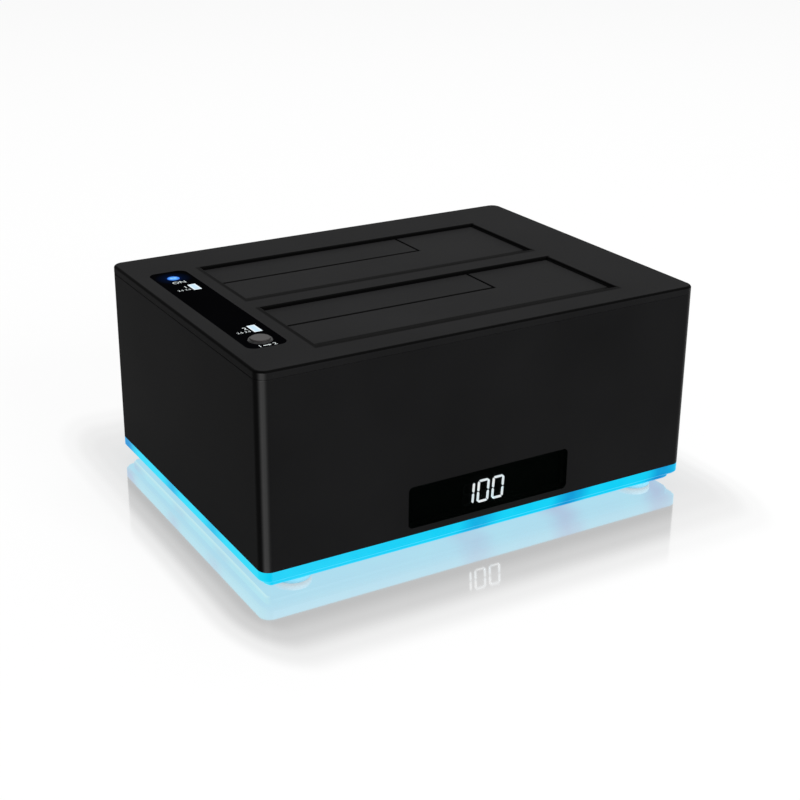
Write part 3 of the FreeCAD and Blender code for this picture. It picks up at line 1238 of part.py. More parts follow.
def add_turned(label, profile):
    """A node turned about the upright axis from a half profile of radius and height pairs."""
    body = add_body(label)
    half = add_sketch(body, "XZ_Plane", "0")
    draw_outline(half, profile)
    turned = body.newObject("PartDesign::Revolution", label + "_revolution")
    turned.Profile = half
    turned.ReferenceAxis = (half, ["V_Axis"])
    turned.Angle = 360
    half.Visibility = False
    place(body, "at.panel_x", "at.button_y", "0")
    doc.recompute()


button_top = "at.panel_face + dims.button_rise"
flange_radius, flange_top = "dims.button_radius + dims.button_flange", "at.seam - dims.button_rest"
button_profile = [
    ("0", "at.plunger_top"),
    ("dims.button_stem_radius", "at.plunger_top"),
    ("dims.button_stem_radius", "at.button_bottom"),
    (flange_radius, "at.button_bottom"),
    (flange_radius, flange_top),
    ("dims.button_radius", flange_top),
    ("dims.button_radius", f"{button_top} - dims.button_bevel"),
    ("dims.button_radius - dims.button_bevel", button_top),
    ("0", button_top),
]
add_turned("clone_button", button_profile)
ring_profile = [
    ("at.ring_bore", "at.seam"),
    ("at.ring_tube", "at.seam"),
    ("at.ring_tube", "at.panel_face"),
    ("dims.ring_radius", "at.panel_face"),
    ("at.ring_tube", "at.panel_face + dims.ring_rise"),
    ("at.ring_bore", "at.panel_face + dims.ring_rise"),
]
add_turned("button_ring", ring_profile)
plunger_profile = [
    ("0", "at.tact_top - dims.plunger_depth"),
    ("dims.plunger_radius", "at.tact_top - dims.plunger_depth"),
    ("dims.plunger_radius", "at.plunger_top"),
    ("0", "at.plunger_top"),
]
add_turned("switch_plunger", plunger_profile)
tact_switch = add_body("tact_switch")
tact_body = add_sketch(tact_switch, "XY_Plane", "at.indicator_top")
half_tact = "dims.tact_size / 2"
draw_rectangle(tact_body, *about("at.panel_x", half_tact), *about("at.button_y", half_tact))
add_pad(tact_body, "dims.tact_height", 1)
tact_well = add_sketch(tact_switch, "XY_Plane", "at.tact_top")
draw_circle(tact_well, "at.panel_x", "at.button_y", "dims.plunger_radius + dims.plunger_play")
add_pocket(tact_well, "dims.plunger_depth + dims.plunger_room", -1)

# ---------------------------------------------------------------------------------------------------------
# Display: window, module, board and the segments of three digits
# ---------------------------------------------------------------------------------------------------------
display_window = add_body("display_window")
window = add_sketch(display_window, "XZ_Plane", "at.window_ledge_y")
draw_rounded(window, *grown(*window_sides, "-dims.window_play"), "dims.window_radius - dims.window_play")
add_pad(window, "dims.window_thickness", -1)

display_module = add_body("display_module")
module_sides = about("dims.window_x", "at.module_half_width")
module_sides += about("at.window_level", "at.module_half_height")
module = add_sketch(display_module, "XZ_Plane", "-at.inner_y")
draw_rectangle(module, *module_sides)
add_pad(module, "dims.module_depth", 1)
face = add_sketch(display_module, "XZ_Plane", "at.digit_face")
draw_rectangle(face, *grown(*opening_sides, "-dims.module_play"))
add_pad(face, "dims.module_rise", 1)
well = add_sketch(display_module, "XZ_Plane", "at.digit_face")
draw_rectangle(well, *grown(*opening_sides, "-dims.module_play - dims.module_rim"))
add_pocket(well, "dims.stroke_depth", 1)
add_node(
    add_box(
        "display_board",
        *module_sides[:2],
        "at.module_back",
        "at.module_back + dims.display_board",
        *module_sides[2:],
    ),
    "display_board",
)


def add_segment(label, half_length, upright):
    """A master segment at the origin: a bar with pointed ends."""
    segment = add_body(label, is_node=False)
    shape = add_sketch(segment, "XZ_Plane", "0")
    half = "dims.stroke / 2"
    shoulder = f"{half_length} - {half}"
    corners = [(minus(half_length), "0"), (minus(shoulder), minus(half)), (shoulder, minus(half))]
    corners += [(half_length, "0"), (shoulder, half), (minus(shoulder), half)]
    if upright:
        corners = [(f"{y} + ({x}) * dims.digit_slant", x) for x, y in reversed(corners)]
    draw_outline(shape, corners)
    add_pad(shape, "dims.stroke_depth", 1)
    return segment


half_span = "(dims.digit_width - dims.stroke) / 2"
half_rise = "(dims.digit_height - dims.stroke) / 2"
flat_segment = add_segment("flat_segment", f"{half_span} - dims.stroke_gap", False)
upright_segment = add_segment("upright_segment", f"{half_rise} / 2 - dims.stroke_gap", True)
# the seven segments of a digit: master, and where it stands as shares of the half span and the half rise
SEGMENTS = {
    "a": (flat_segment, 0, 1),
    "b": (upright_segment, 1, 0.5),
    "c": (upright_segment, 1, -0.5),
    "d": (flat_segment, 0, -1),
    "e": (upright_segment, -1, -0.5),
    "f": (upright_segment, -1, 0.5),
    "g": (flat_segment, 0, 0),
}
SHOWN = {-1: "bc", 0: "abcdef", 1: "abcdef"}        # digit place, and its lit segments: 100
lit, dark = [], []
for digit, shown in SHOWN.items():
    for name, (master, across, up) in SEGMENTS.items():
        lean = f"{up} * {half_rise} * dims.digit_slant"
        x = f"dims.digits_x + {digit} * dims.digit_pitch + {across} * {half_span} + {lean}"
        z = f"at.digits_level + {up} * {half_rise}"
        (lit if name in shown else dark).append((master, (x, "at.digit_face", z)))
add_group("lit_segments", lit)
add_group("dark_segments", dark)

# ---------------------------------------------------------------------------------------------------------
# Connectors and power switch in the recess
# ---------------------------------------------------------------------------------------------------------
usb_port_shell = add_body("usb_port_shell")
usb_sides = about("dims.usb_x", "dims.usb_width / 2") + about("at.usb_level", "dims.usb_height / 2")
usb_shell = add_sketch(usb_port_shell, "XZ_Plane", "at.usb_mouth_y")
draw_rounded(usb_shell, *usb_sides, "dims.usb_radius")
add_pad(usb_shell, "dims.usb_length", -1)
usb_cavity = add_sketch(usb_port_shell, "XZ_Plane", "at.usb_mouth_y")
draw_rounded(usb_cavity, *grown(*usb_sides, "-dims.usb_wall"), "dims.usb_radius - dims.usb_wall")
add_pocket(usb_cavity, "dims.usb_cavity", -1)
tongue = add_box(
    "usb_port_tongue",
    *about("dims.usb_x", "dims.tongue_width / 2"),
    "at.usb_mouth_y - dims.usb_cavity",
    "at.usb_mouth_y - dims.usb_cavity + dims.tongue_length",
    *about("at.usb_level", "dims.tongue_thickness / 2"),
)
add_node(tongue, "usb_port_tongue")

dc_jack = add_body("dc_jack")
jack_body = add_sketch(dc_jack, "XZ_Plane", "at.board_far")
jack_width = about("dims.jack_x", "dims.jack_width / 2")
draw_rectangle(jack_body, *jack_width, "at.board_top", "at.board_top + dims.jack_height")
add_pad(jack_body, "dims.jack_length", -1)
nose = add_sketch(dc_jack, "XZ_Plane", "at.board_far")
draw_circle(nose, "dims.jack_x", "at.jack_level", "dims.jack_nose")
add_pad(nose, "at.recess_floor - at.board_far", 1)
jack_bore = add_sketch(dc_jack, "XZ_Plane", "at.recess_floor")
draw_circle(jack_bore, "dims.jack_x", "at.jack_level", "dims.jack_bore")
add_pocket(jack_bore, "dims.jack_depth", -1)
jack_pin = add_cylinder(
    "dc_jack_pin",
    "dims.jack_x",
    "at.recess_floor - dims.jack_depth",
    "at.jack_level",
    "dims.jack_pin",
    "dims.jack_depth - dims.jack_pin_setback",
    Vector(0, 1, 0),
)
add_node(jack_pin, "dc_jack_pin")

switch_frame = add_body("switch_frame")
frame_body = add_sketch(switch_frame, "XZ_Plane", "at.recess_floor")
draw_rectangle(frame_body, *switch_body)
add_pad(frame_body, "dims.switch_length", -1)
rim = add_sketch(switch_frame, "XZ_Plane", "at.recess_floor")
draw_rectangle(rim, *grown(*switch_body, "dims.switch_flange"))
add_pad(rim, "dims.switch_flange_depth", 1)
hollow = add_sketch(switch_frame, "XZ_Plane", "at.switch_face")
hollow_sides = about("dims.switch_x", "at.cavity_half_width")
hollow_sides += about("at.switch_level", "at.cavity_half_height")
draw_rectangle(hollow, *hollow_sides)
add_pocket(hollow, "dims.switch_cavity", -1)
trunnion_bores = add_sketch(switch_frame, "XY_Plane", "at.switch_level - dims.switch_height / 2")
draw_circle(trunnion_bores, "dims.switch_x", "at.pivot_y", "dims.trunnion_radius + dims.pin_play")
add_pocket(trunnion_bores, "dims.switch_height", 1)

power_rocker = add_body("power_rocker")
half_rocker = "at.cavity_half_width - dims.rocker_play"
half_rocker_height = "at.cavity_half_height - dims.rocker_side_play"
rocker_face = "dims.rocker_pivot + dims.rocker_tip"
rocker_foot = f"{half_rocker} - dims.rocker_taper"
paddle = add_sketch(power_rocker, "XY_Plane", f"at.switch_level - ({half_rocker_height})")
paddle_corners = [
    (minus(rocker_foot), "-dims.rocker_skirt"),
    (rocker_foot, "-dims.rocker_skirt"),
    (half_rocker, "0"),
    (half_rocker, rocker_face),
    ("0", f"{rocker_face} - dims.rocker_dip"),
    (minus(half_rocker), rocker_face),
    (minus(half_rocker), "0"),
]
draw_outline(paddle, paddle_corners)
add_pad(paddle, f"2 * ({half_rocker_height})", 1)
trunnion_half = f"{half_rocker_height} + dims.trunnion_length"
trunnions = add_sketch(power_rocker, "XY_Plane", f"at.switch_level - ({trunnion_half})")
draw_circle(trunnions, "0", "0", "dims.trunnion_radius")
add_pad(trunnions, f"2 * ({trunnion_half})", 1)
place(power_rocker, "dims.switch_x", "at.pivot_y", "0")
power_rocker.setExpression("Placement.Rotation.Angle", "-dims.rocker_tilt * 1 deg")

# ---------------------------------------------------------------------------------------------------------
# Check and export
# ---------------------------------------------------------------------------------------------------------
doc.recompute()
for item in doc.Objects:
    if {"Invalid", "Error"} & set(item.State):
        raise RuntimeError(f"{item.Label} did not rebuild: {item.State}")
for node in nodes:
    if node.Shape.isNull() or not node.Shape.isValid() or not node.Shape.Solids:
        raise RuntimeError(f"{node.Label} has no sound solid")
os.makedirs("parts", exist_ok=True)
for node in nodes:
    node.Shape.exportStep(f"parts/{node.Label}.step")
print(len(nodes), "nodes written")
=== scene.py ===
import json
import math

import bmesh
import bpy
from mathutils import Matrix, Vector
from mathutils.bvhtree import BVHTree


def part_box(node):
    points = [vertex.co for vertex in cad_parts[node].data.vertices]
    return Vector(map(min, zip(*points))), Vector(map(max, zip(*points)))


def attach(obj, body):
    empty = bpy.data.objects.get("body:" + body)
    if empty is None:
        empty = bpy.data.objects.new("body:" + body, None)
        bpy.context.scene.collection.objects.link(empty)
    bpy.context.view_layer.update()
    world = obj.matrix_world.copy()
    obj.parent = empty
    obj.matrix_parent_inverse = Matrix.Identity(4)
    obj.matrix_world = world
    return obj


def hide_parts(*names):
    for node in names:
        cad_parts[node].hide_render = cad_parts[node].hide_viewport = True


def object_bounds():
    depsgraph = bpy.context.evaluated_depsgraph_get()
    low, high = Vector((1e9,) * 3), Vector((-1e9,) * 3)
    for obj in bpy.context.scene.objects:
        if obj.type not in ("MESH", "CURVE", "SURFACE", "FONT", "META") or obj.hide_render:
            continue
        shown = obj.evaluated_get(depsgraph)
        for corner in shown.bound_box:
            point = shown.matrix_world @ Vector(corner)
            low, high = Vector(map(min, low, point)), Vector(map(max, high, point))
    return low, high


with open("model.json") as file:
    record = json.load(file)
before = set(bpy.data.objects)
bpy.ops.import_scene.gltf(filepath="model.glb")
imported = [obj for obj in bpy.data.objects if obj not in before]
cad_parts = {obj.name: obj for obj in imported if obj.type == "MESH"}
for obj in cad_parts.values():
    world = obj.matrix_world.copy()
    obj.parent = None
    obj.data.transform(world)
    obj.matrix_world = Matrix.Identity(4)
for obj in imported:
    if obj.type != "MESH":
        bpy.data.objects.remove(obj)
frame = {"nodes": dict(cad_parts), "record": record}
cad_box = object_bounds()
scene = bpy.context.scene
scene.view_settings.view_transform = "Standard"
nodes = frame["nodes"]
MM = 0.001
CORNER_RADIUS = 3.5 * MM
RIM_RADIUS = 0.9 * MM


def shade(red, green, blue):
    """A colour given as it shows on a screen, 0 to 255, as Blender's linear one."""
    return tuple(c / 3294.6 if c <= 10 else ((c / 255 + 0.055) / 1.055) ** 2.4 for c in (red, green, blue))


# ---------------------------------------------------------------- camera
def aim_camera():
    """The dock seen from its left front corner, a little from above."""
    lens = bpy.data.cameras.new("dock_camera")
    lens.lens = 65.43
    lens.sensor_width = 36
    lens.shift_x = 0.0501
    lens.shift_y = -0.0606
    lens.clip_start = 0.01
    camera = bpy.data.objects.new("dock_camera", lens)
    camera.location = (-0.22405, -0.37774, 0.2093)
    camera.rotation_euler = (math.radians(69.087), math.radians(0.064), math.radians(-29.184))
    scene.collection.objects.link(camera)
    scene.camera = camera


# ---------------------------------------------------------------- shader building blocks
def link(tree, source, target):
    tree.links.new(source, target)


def add_node(tree, kind, **settings):
    """A node with its plain properties set by name."""
    node = tree.nodes.new(kind)
    for name, value in settings.items():
        setattr(node, name, value)
    return node


def arithmetic(tree, operation, first, second=None, clamp=False):
    """One Math node; each side is a socket or a number."""
    node = add_node(tree, "ShaderNodeMath", operation=operation, use_clamp=clamp)
    for slot, side in zip(node.inputs, (first, second)):
        if isinstance(side, bpy.types.NodeSocket):
            link(tree, side, slot)
        elif side is not None:
            slot.default_value = side
    return node.outputs[0]


def times(tree, value, factor):
    return arithmetic(tree, "MULTIPLY", value, factor)


def remap(tree, value, low, high, to_low=0.0, to_high=1.0, smooth=False):
    """A Map Range node from one span to another."""
    node = add_node(tree, "ShaderNodeMapRange", interpolation_type="SMOOTHSTEP" if smooth else "LINEAR")
    link(tree, value, node.inputs["Value"])
    for name, number in zip(("From Min", "From Max", "To Min", "To Max"), (low, high, to_low, to_high)):
        node.inputs[name].default_value = number
    return node.outputs["Result"]


def ramp(tree, value, stops, interpolation="LINEAR"):
    """A Color Ramp through (place, colour) stops."""
    node = add_node(tree, "ShaderNodeValToRGB")
    node.color_ramp.interpolation = interpolation
    elements = node.color_ramp.elements
    while len(elements) < len(stops):
        elements.new(0.5)
    for element, (place, colour) in zip(elements, stops):
        element.position = place
        element.color = (*colour, 1)
    link(tree, value, node.inputs[0])
    return node.outputs[0]


def grey_ramp(tree, value, stops):
    """A smooth Color Ramp through (place, share) stops, for masks."""
    return ramp(tree, value, [(place, (share,) * 3) for place, share in stops], "EASE")


def mix_colour(tree, factor, first, second):
    """A colour mix; factor, first and second are sockets or values."""
    node = add_node(tree, "ShaderNodeMix", data_type="RGBA")
    for slot, side in zip((node.inputs[0], node.inputs[6], node.inputs[7]), (factor, first, second)):
        if isinstance(side, bpy.types.NodeSocket):
            link(tree, side, slot)
        else:
            slot.default_value = side if isinstance(side, (int, float)) else (*side, 1)
    return node.outputs[2]


def axes(tree, place):
    """The X, Y and Z of a place."""
    split = add_node(tree, "ShaderNodeSeparateXYZ")
    link(tree, place, split.inputs[0])
    return split.outputs


def start_group(name, inputs, outputs):
    """An empty shader node group with named sockets; returns the tree and its two ends."""
    tree = bpy.data.node_groups.new(name, "ShaderNodeTree")
    for label, kind, value in inputs:
        socket = tree.interface.new_socket(label, in_out="INPUT", socket_type=f"NodeSocket{kind}")
        if value is not None:
            socket.default_value = value
    for label, kind in outputs:
        tree.interface.new_socket(label, in_out="OUTPUT", socket_type=f"NodeSocket{kind}")
    return tree, add_node(tree, "NodeGroupInput"), add_node(tree, "NodeGroupOutput")


def make_grain_group():
    """Spark-eroded mould texture: a fine pebbled height, and a roughness that varies in broad patches."""
    tree, entry, leave = start_group(
        "mould_grain",
        [("Place", "Vector", None), ("Grain per metre", "Float", 2500.0), ("Roughness", "Float", 0.5),
         ("Spread", "Float", 0.06)],
        [("Height", "Float"), ("Roughness", "Float"), ("Patches", "Float")],
    )
    pebbles = add_node(tree, "ShaderNodeTexVoronoi", feature="F1")
    link(tree, entry.outputs["Place"], pebbles.inputs["Vector"])
    link(tree, entry.outputs["Grain per metre"], pebbles.inputs["Scale"])
    fine = add_node(tree, "ShaderNodeTexNoise")
    fine.inputs["Detail"].default_value = 3
    link(tree, entry.outputs["Place"], fine.inputs["Vector"])
    link(tree, times(tree, entry.outputs["Grain per metre"], 1.7), fine.inputs["Scale"])
    height = arithmetic(tree, "ADD", pebbles.outputs["Distance"], fine.outputs["Fac"])
    link(tree, times(tree, height, 0.5), leave.inputs["Height"])
    broad = add_node(tree, "ShaderNodeTexNoise")
    broad.inputs["Scale"].default_value = 28
    broad.inputs["Detail"].default_value = 2
    link(tree, entry.outputs["Place"], broad.inputs["Vector"])
    link(tree, broad.outputs["Fac"], leave.inputs["Patches"])
    swing = arithmetic(tree, "SUBTRACT", broad.outputs["Fac"], 0.5)
    speck = arithmetic(tree, "SUBTRACT", fine.outputs["Fac"], 0.5)
    both = arithmetic(tree, "ADD", swing, times(tree, speck, 0.7))
    change = times(tree, both, times(tree, entry.outputs["Spread"], 2.0))
    varied = arithmetic(tree, "ADD", entry.outputs["Roughness"], change, clamp=True)
    link(tree, varied, leave.inputs["Roughness"])
    return tree


def make_shade_group():
    """Slight change of a colour over a part: lighter patches where it is handled, and sparse pale specks."""
    tree, entry, leave = start_group(
        "handled_colour",
        [("Place", "Vector", None), ("Colour", "Color", (0.02, 0.02, 0.02, 1)), ("Patches", "Float", 0.5),
         ("Variation", "Float", 0.15), ("Dust", "Float", 0.0)],
        [("Colour", "Color")],
    )
    lift = remap(tree, entry.outputs["Patches"], 0.3, 0.7, -1.0, 1.0)
    factor = arithmetic(tree, "ADD", times(tree, lift, entry.outputs["Variation"]), 1.0)
    tone = add_node(tree, "ShaderNodeHueSaturation")
    link(tree, entry.outputs["Colour"], tone.inputs["Color"])
    link(tree, factor, tone.inputs["Value"])
    specks = add_node(tree, "ShaderNodeTexNoise")
    specks.inputs["Scale"].default_value = 1400
    link(tree, entry.outputs["Place"], specks.inputs["Vector"])
    mask = times(tree, remap(tree, specks.outputs["Fac"], 0.68, 0.78), entry.outputs["Dust"])
    dusty = mix_colour(tree, mask, tone.outputs["Color"], (0.25, 0.25, 0.25))
    link(tree, dusty, leave.inputs["Colour"])
    return tree


def make_edge_group():
    """Masks for painted light on the housing's rounded edges: the corners' painted highlight (sheen) and
    painted dark flank, and the painted dark shade on the top rim.
    """
    tree, entry, leave = start_group(
        "rounded_edges",
        [("Place", "Vector", None)],
        [("Sheen", "Float"), ("Flank", "Float"), ("Rim", "Float")],
    )
    x, y, z = axes(tree, entry.outputs["Place"])
    reaches = []
    for value, half in ((x, cad_box[1].x), (y, cad_box[1].y)):
        reaches.append(remap(tree, arithmetic(tree, "ABSOLUTE", value), half - CORNER_RADIUS, half))
    across, along = (times(tree, reach, reach) for reach in reaches)
    level = arithmetic(tree, "ADD", across, along)
    turn = arithmetic(tree, "DIVIDE", along, arithmetic(tree, "MAXIMUM", level, 0.001))
    upright = times(tree, remap(tree, level, 0.7, 0.9), remap(tree, level, 1.3, 1.1))
    sheen = grey_ramp(tree, turn, ((0.28, 0.0), (0.6, 1.0), (0.75, 0.8), (0.99, 0.0)))
    flank = grey_ramp(tree, turn, ((0.0, 0.0), (0.05, 1.0), (0.2, 0.8), (0.35, 0.0)))
    link(tree, times(tree, sheen, upright), leave.inputs["Sheen"])
    link(tree, times(tree, flank, upright), leave.inputs["Flank"])
    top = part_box("top_cover")[1].z
    rise = remap(tree, z, top - RIM_RADIUS, top)
    steep = times(tree, rise, rise)
    rounded = times(tree, times(tree, steep, arithmetic(tree, "SUBTRACT", 1.0, steep)), 4.0)
    link(tree, remap(tree, rounded, 0.1, 0.6, smooth=True), leave.inputs["Rim"])
    return tree


def make_brush_group():
    """Drawn or turned metal: hair lines along one direction, as a height and a roughness."""
    tree, entry, leave = start_group(
        "drawn_lines",
        [("Place", "Vector", None), ("Stretch", "Vector", (1, 1, 0.05)), ("Roughness", "Float", 0.3)],
        [("Height", "Float"), ("Roughness", "Float")],
    )
    stretched = add_node(tree, "ShaderNodeVectorMath", operation="MULTIPLY")
    link(tree, entry.outputs["Place"], stretched.inputs[0])
    link(tree, entry.outputs["Stretch"], stretched.inputs[1])
    hair = add_node(tree, "ShaderNodeTexNoise")
    hair.inputs["Scale"].default_value = 4000
    hair.inputs["Detail"].default_value = 2
    link(tree, stretched.outputs[0], hair.inputs["Vector"])
    link(tree, hair.outputs["Fac"], leave.inputs["Height"])
    swing = remap(tree, hair.outputs["Fac"], 0.3, 0.7, -0.08, 0.08)
    varied = arithmetic(tree, "ADD", entry.outputs["Roughness"], swing, clamp=True)
    link(tree, varied, leave.inputs["Roughness"])
    return tree


GRAIN = make_grain_group()
SHADE = make_shade_group()
BRUSH = make_brush_group()
EDGES = make_edge_group()


def start_material(name):
    """A new material; returns it, its tree, its Principled shader and the object's own coordinates."""
    material = bpy.data.materials.new(name)
    material.use_nodes = True
    tree = material.node_tree
    place = add_node(tree, "ShaderNodeTexCoord")
    return material, tree, tree.nodes["Principled BSDF"], place.outputs["Object"]


def use_group(tree, group, **values):
    """A group placed in a material; an underscore in a name stands for a space."""
    node = add_node(tree, "ShaderNodeGroup", node_tree=group)
    for name, value in values.items():
        slot = node.inputs[name.replace("_", " ")]
        if isinstance(value, bpy.types.NodeSocket):
            link(tree, value, slot)
        else:
            slot.default_value = (*value, 1) if slot.type == "RGBA" else value
    return node


def relief(tree, shader, height, distance):
    """A Bump node from a height into the shader's normal; distance is the full depth in metres."""
    bump = add_node(tree, "ShaderNodeBump")
    bump.inputs["Strength"].default_value = 1.0
    bump.inputs["Distance"].default_value = distance
    link(tree, height, bump.inputs["Height"])
    link(tree, bump.outputs["Normal"], shader.inputs["Normal"])


def edge_line(tree, value, low, high, soft):
    """Full between two values, fading over a soft width outside them."""
    return times(tree, remap(tree, value, low - soft, low), remap(tree, value, high + soft, high))


def box_line(tree, x, y, across, along, soft):
    """Full inside a rectangle given by its two ranges."""
    return times(tree, edge_line(tree, x, *across, soft), edge_line(tree, y, *along, soft))


def moulded(name, colour, roughness, grain=2500, depth=0.02, specular=0.3, spread=0.05, variation=0.12,
            dust=0.0, edges=None, lines=()):
    """A moulded plastic or rubber with its own grain; returns the material, its tree, shader and place."""
    material, tree, shader, place = start_material(name)
    texture = use_group(
        tree, GRAIN, Place=place, Grain_per_metre=float(grain), Roughness=roughness, Spread=spread
    )
    patches = texture.outputs["Patches"]
    tone = use_group(tree, SHADE, Place=place, Colour=colour, Patches=patches, Variation=variation, Dust=dust)
    surface = tone.outputs["Colour"]
    if edges:
        # painted light: a painted highlight on the upright corners, with painted dark shade beside it and on
        # the top rim
        painted_edge_light = use_group(tree, EDGES, Place=place)
        for mask, tint in zip(("Flank", "Sheen", "Rim"), edges):
            surface = mix_colour(tree, painted_edge_light.outputs[mask], surface, tint)
    if lines:
        # painted shade: near-black strips mixed into the colour along the slot and flap edges
        x, y = axes(tree, place)[:2]
        for across, along, soft in lines:
            surface = mix_colour(tree, box_line(tree, x, y, across, along, soft), surface, shade(6, 6, 6))
    link(tree, surface, shader.inputs["Base Color"])
    link(tree, texture.outputs["Roughness"], shader.inputs["Roughness"])
    shader.inputs["Specular IOR Level"].default_value = specular
    relief(tree, shader, texture.outputs["Height"], depth * MM)
    return material, tree, shader, place


def metal(name, colour, roughness, stretch, depth=0.004):
    """A drawn, rolled or turned metal with hair lines."""
    material, tree, shader, place = start_material(name)
    lines = use_group(tree, BRUSH, Place=place, Stretch=stretch, Roughness=roughness)
    texture = use_group(tree, GRAIN, Place=place, Grain_per_metre=900.0, Roughness=roughness, Spread=0.1)
    patches = texture.outputs["Patches"]
    tone = use_group(tree, SHADE, Place=place, Colour=colour, Patches=patches, Variation=0.06)
    link(tree, tone.outputs["Colour"], shader.inputs["Base Color"])
    shader.inputs["Metallic"].default_value = 1
    link(tree, lines.outputs["Roughness"], shader.inputs["Roughness"])
    relief(tree, shader, lines.outputs["Height"], depth * MM)
    return material


def distance_to(tree, place, spot):
    """How far a place is from a spot, in metres."""
    node = add_node(tree, "ShaderNodeVectorMath", operation="DISTANCE")
    link(tree, place, node.inputs[0])
    node.inputs[1].default_value = spot
    return node.outputs["Value"]


def middle(node):
    low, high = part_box(node)
    return (low + high) / 2


# ---------------------------------------------------------------- finishes of the dock
def slot_painted_shade():
    """Painted shade: dark lines along the front, left and far edges of both slots, as spans and a softness.
    """
    left, front, far, right, soft = 1.1 * MM, 2.6 * MM, 0.8 * MM, 0.5 * MM, 0.2 * MM
    lines = []
    for side in ("rear", "front"):
        low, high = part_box(f"large_flap_{side}")
        lines.append(((low.x - left, high.x), (low.y - front, low.y), soft))
        lines.append(((low.x - left, low.x), (low.y, high.y), soft))
        lines.append(((low.x - left, high.x + right), (high.y, high.y + far), soft))
    return lines


def flap_painted_shade():
    """Painted shade on the flaps: dark lines on both sides of their split, and along the slot's front and
    left edges.
    """
    soft, onto_small, onto_large = 0.1 * MM, 0.3 * MM, 0.9 * MM
    past_corner, past_end, front, left = 0.5 * MM, 0.6 * MM, 2.6 * MM, 1.2 * MM
    lines = []
    for side in ("rear", "front"):
        low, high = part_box(f"small_flap_{side}")
        lines.append(((low.x, high.x + past_corner), (low.y - onto_large, low.y + onto_small), soft))
        lines.append(((high.x - onto_small, high.x + past_end), (low.y, high.y), soft))
        low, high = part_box(f"large_flap_{side}")
        lines.append(((low.x, high.x), (low.y, low.y + front), 3 * soft))
        lines.append(((low.x, low.x + left), (low.y, high.y), soft))
    return lines


def finish_panel():
    """Gloss black indicator strip with the lamp's blue light round its hole."""
    material, tree, shader, place = moulded(
        "panel_gloss", shade(3, 3, 4), 0.12, grain=900, depth=0.002, specular=0.0001, spread=0.04,
        variation=0.2,
    )
    lamp = middle("power_lamp")
    lamp.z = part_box("control_panel")[1].z
    hole_edge, halo_edge = 1.8 * MM, 6.2 * MM
    halo = remap(tree, distance_to(tree, place, lamp), hole_edge, halo_edge)
    glow = ramp(tree, halo, ((0.0, shade(3, 18, 60)), (0.3, shade(0, 8, 28)), (1.0, (0, 0, 0))), "EASE")
    link(tree, glow, shader.inputs["Emission Color"])
    shader.inputs["Emission Strength"].default_value = 1
    return material


def finish_window():
    """Smoked display cover: dark, polished, and clear enough for lit digits."""
    material, _, shader, _ = moulded(
        "display_smoke", shade(2, 4, 3), 0.08, grain=500, depth=0.001, specular=0.0001, spread=0.03,
        variation=0.2,
    )
    shader.inputs["Alpha"].default_value = 0.62
    return material


def finish_segment(lit):
    """A digit's bar of frosted plastic, with a softer light towards its ends when lit."""
    colour = (0.75, 0.85, 0.9) if lit else (0.012, 0.013, 0.014)
    material, tree, shader, place = moulded(
        "segment_lit" if lit else "segment_dark", colour, 0.4, grain=2000, depth=0.004, spread=0.05
    )
    if lit:
        cloud = add_node(tree, "ShaderNodeTexNoise")
        cloud.inputs["Scale"].default_value = 260
        link(tree, place, cloud.inputs["Vector"])
        glow = ramp(tree, cloud.outputs["Fac"], ((0.3, (0.78, 0.93, 1.0)), (0.7, (1.0, 1.0, 1.0))))
        link(tree, glow, shader.inputs["Emission Color"])
        shader.inputs["Emission Strength"].default_value = 5.6
    return material


# the base's light: its colour over the light chips in front and at the ends, and between the chips
FRONT_LIT, SIDE_LIT, BETWEEN_CHIPS = shade(3, 205, 244), shade(24, 214, 245), shade(4, 135, 206)
# dim stretches between light chips, in mm: place along the base, strength and reach
FRONT_DIMS = ((-3, 0.58, 9), (31, 0.85, 9), (68, 0.95, 9))
SIDE_DIMS = ((-21, 0.4, 9), (11, 0.55, 9), (51, 1.0, 13))


def glow_along(tree, along, lit, dims):
    """The base's light along one axis, deeper blue where a dim stretch lies."""
    glow = lit
    for place, strength, reach in dims:
        off = arithmetic(tree, "ABSOLUTE", arithmetic(tree, "SUBTRACT", along, place * MM))
        dim = remap(tree, off, 0.0, reach * MM, strength, 0.0, smooth=True)
        glow = mix_colour(tree, dim, glow, BETWEEN_CHIPS)
    return glow


def finish_light_base():
    """Frosted clear base, lit cyan from inside: brighter over the light chips, deeper blue between them."""
    material, tree, shader, place = moulded(
        "lit_plastic", shade(0, 20, 26), 0.3, grain=1300, depth=0.01, specular=0.05, spread=0.08
    )
    x, y, z = axes(tree, place)
    facing = axes(tree, add_node(tree, "ShaderNodeTexCoord").outputs["Normal"])
    ends = remap(tree, arithmetic(tree, "ABSOLUTE", facing[0]), 0.35, 0.85)
    front = glow_along(tree, x, FRONT_LIT, FRONT_DIMS)
    glow = mix_colour(tree, ends, front, glow_along(tree, y, SIDE_LIT, SIDE_DIMS))
    cloud = add_node(tree, "ShaderNodeTexNoise")
    cloud.inputs["Scale"].default_value = 140
    cloud.inputs["Detail"].default_value = 2
    link(tree, place, cloud.inputs["Vector"])
    haze = remap(tree, cloud.outputs["Fac"], 0.4, 0.7, 0.0, 0.25)
    cloudy = mix_colour(tree, haze, glow, shade(30, 222, 250))
    bevel_top, bevel_foot, sole_top, sole_foot = 5.2 * MM, 4.3 * MM, 2.5 * MM, 1.9 * MM
    bevel = times(tree, remap(tree, z, bevel_top, bevel_foot), ends)
    lined = mix_colour(tree, times(tree, bevel, 0.3), cloudy, shade(120, 235, 250))
    sole = times(tree, remap(tree, z, sole_top, sole_foot), ends)
    link(tree, mix_colour(tree, sole, lined, shade(165, 250, 254)), shader.inputs["Emission Color"])
    shader.inputs["Emission Strength"].default_value = 1.0
    return material


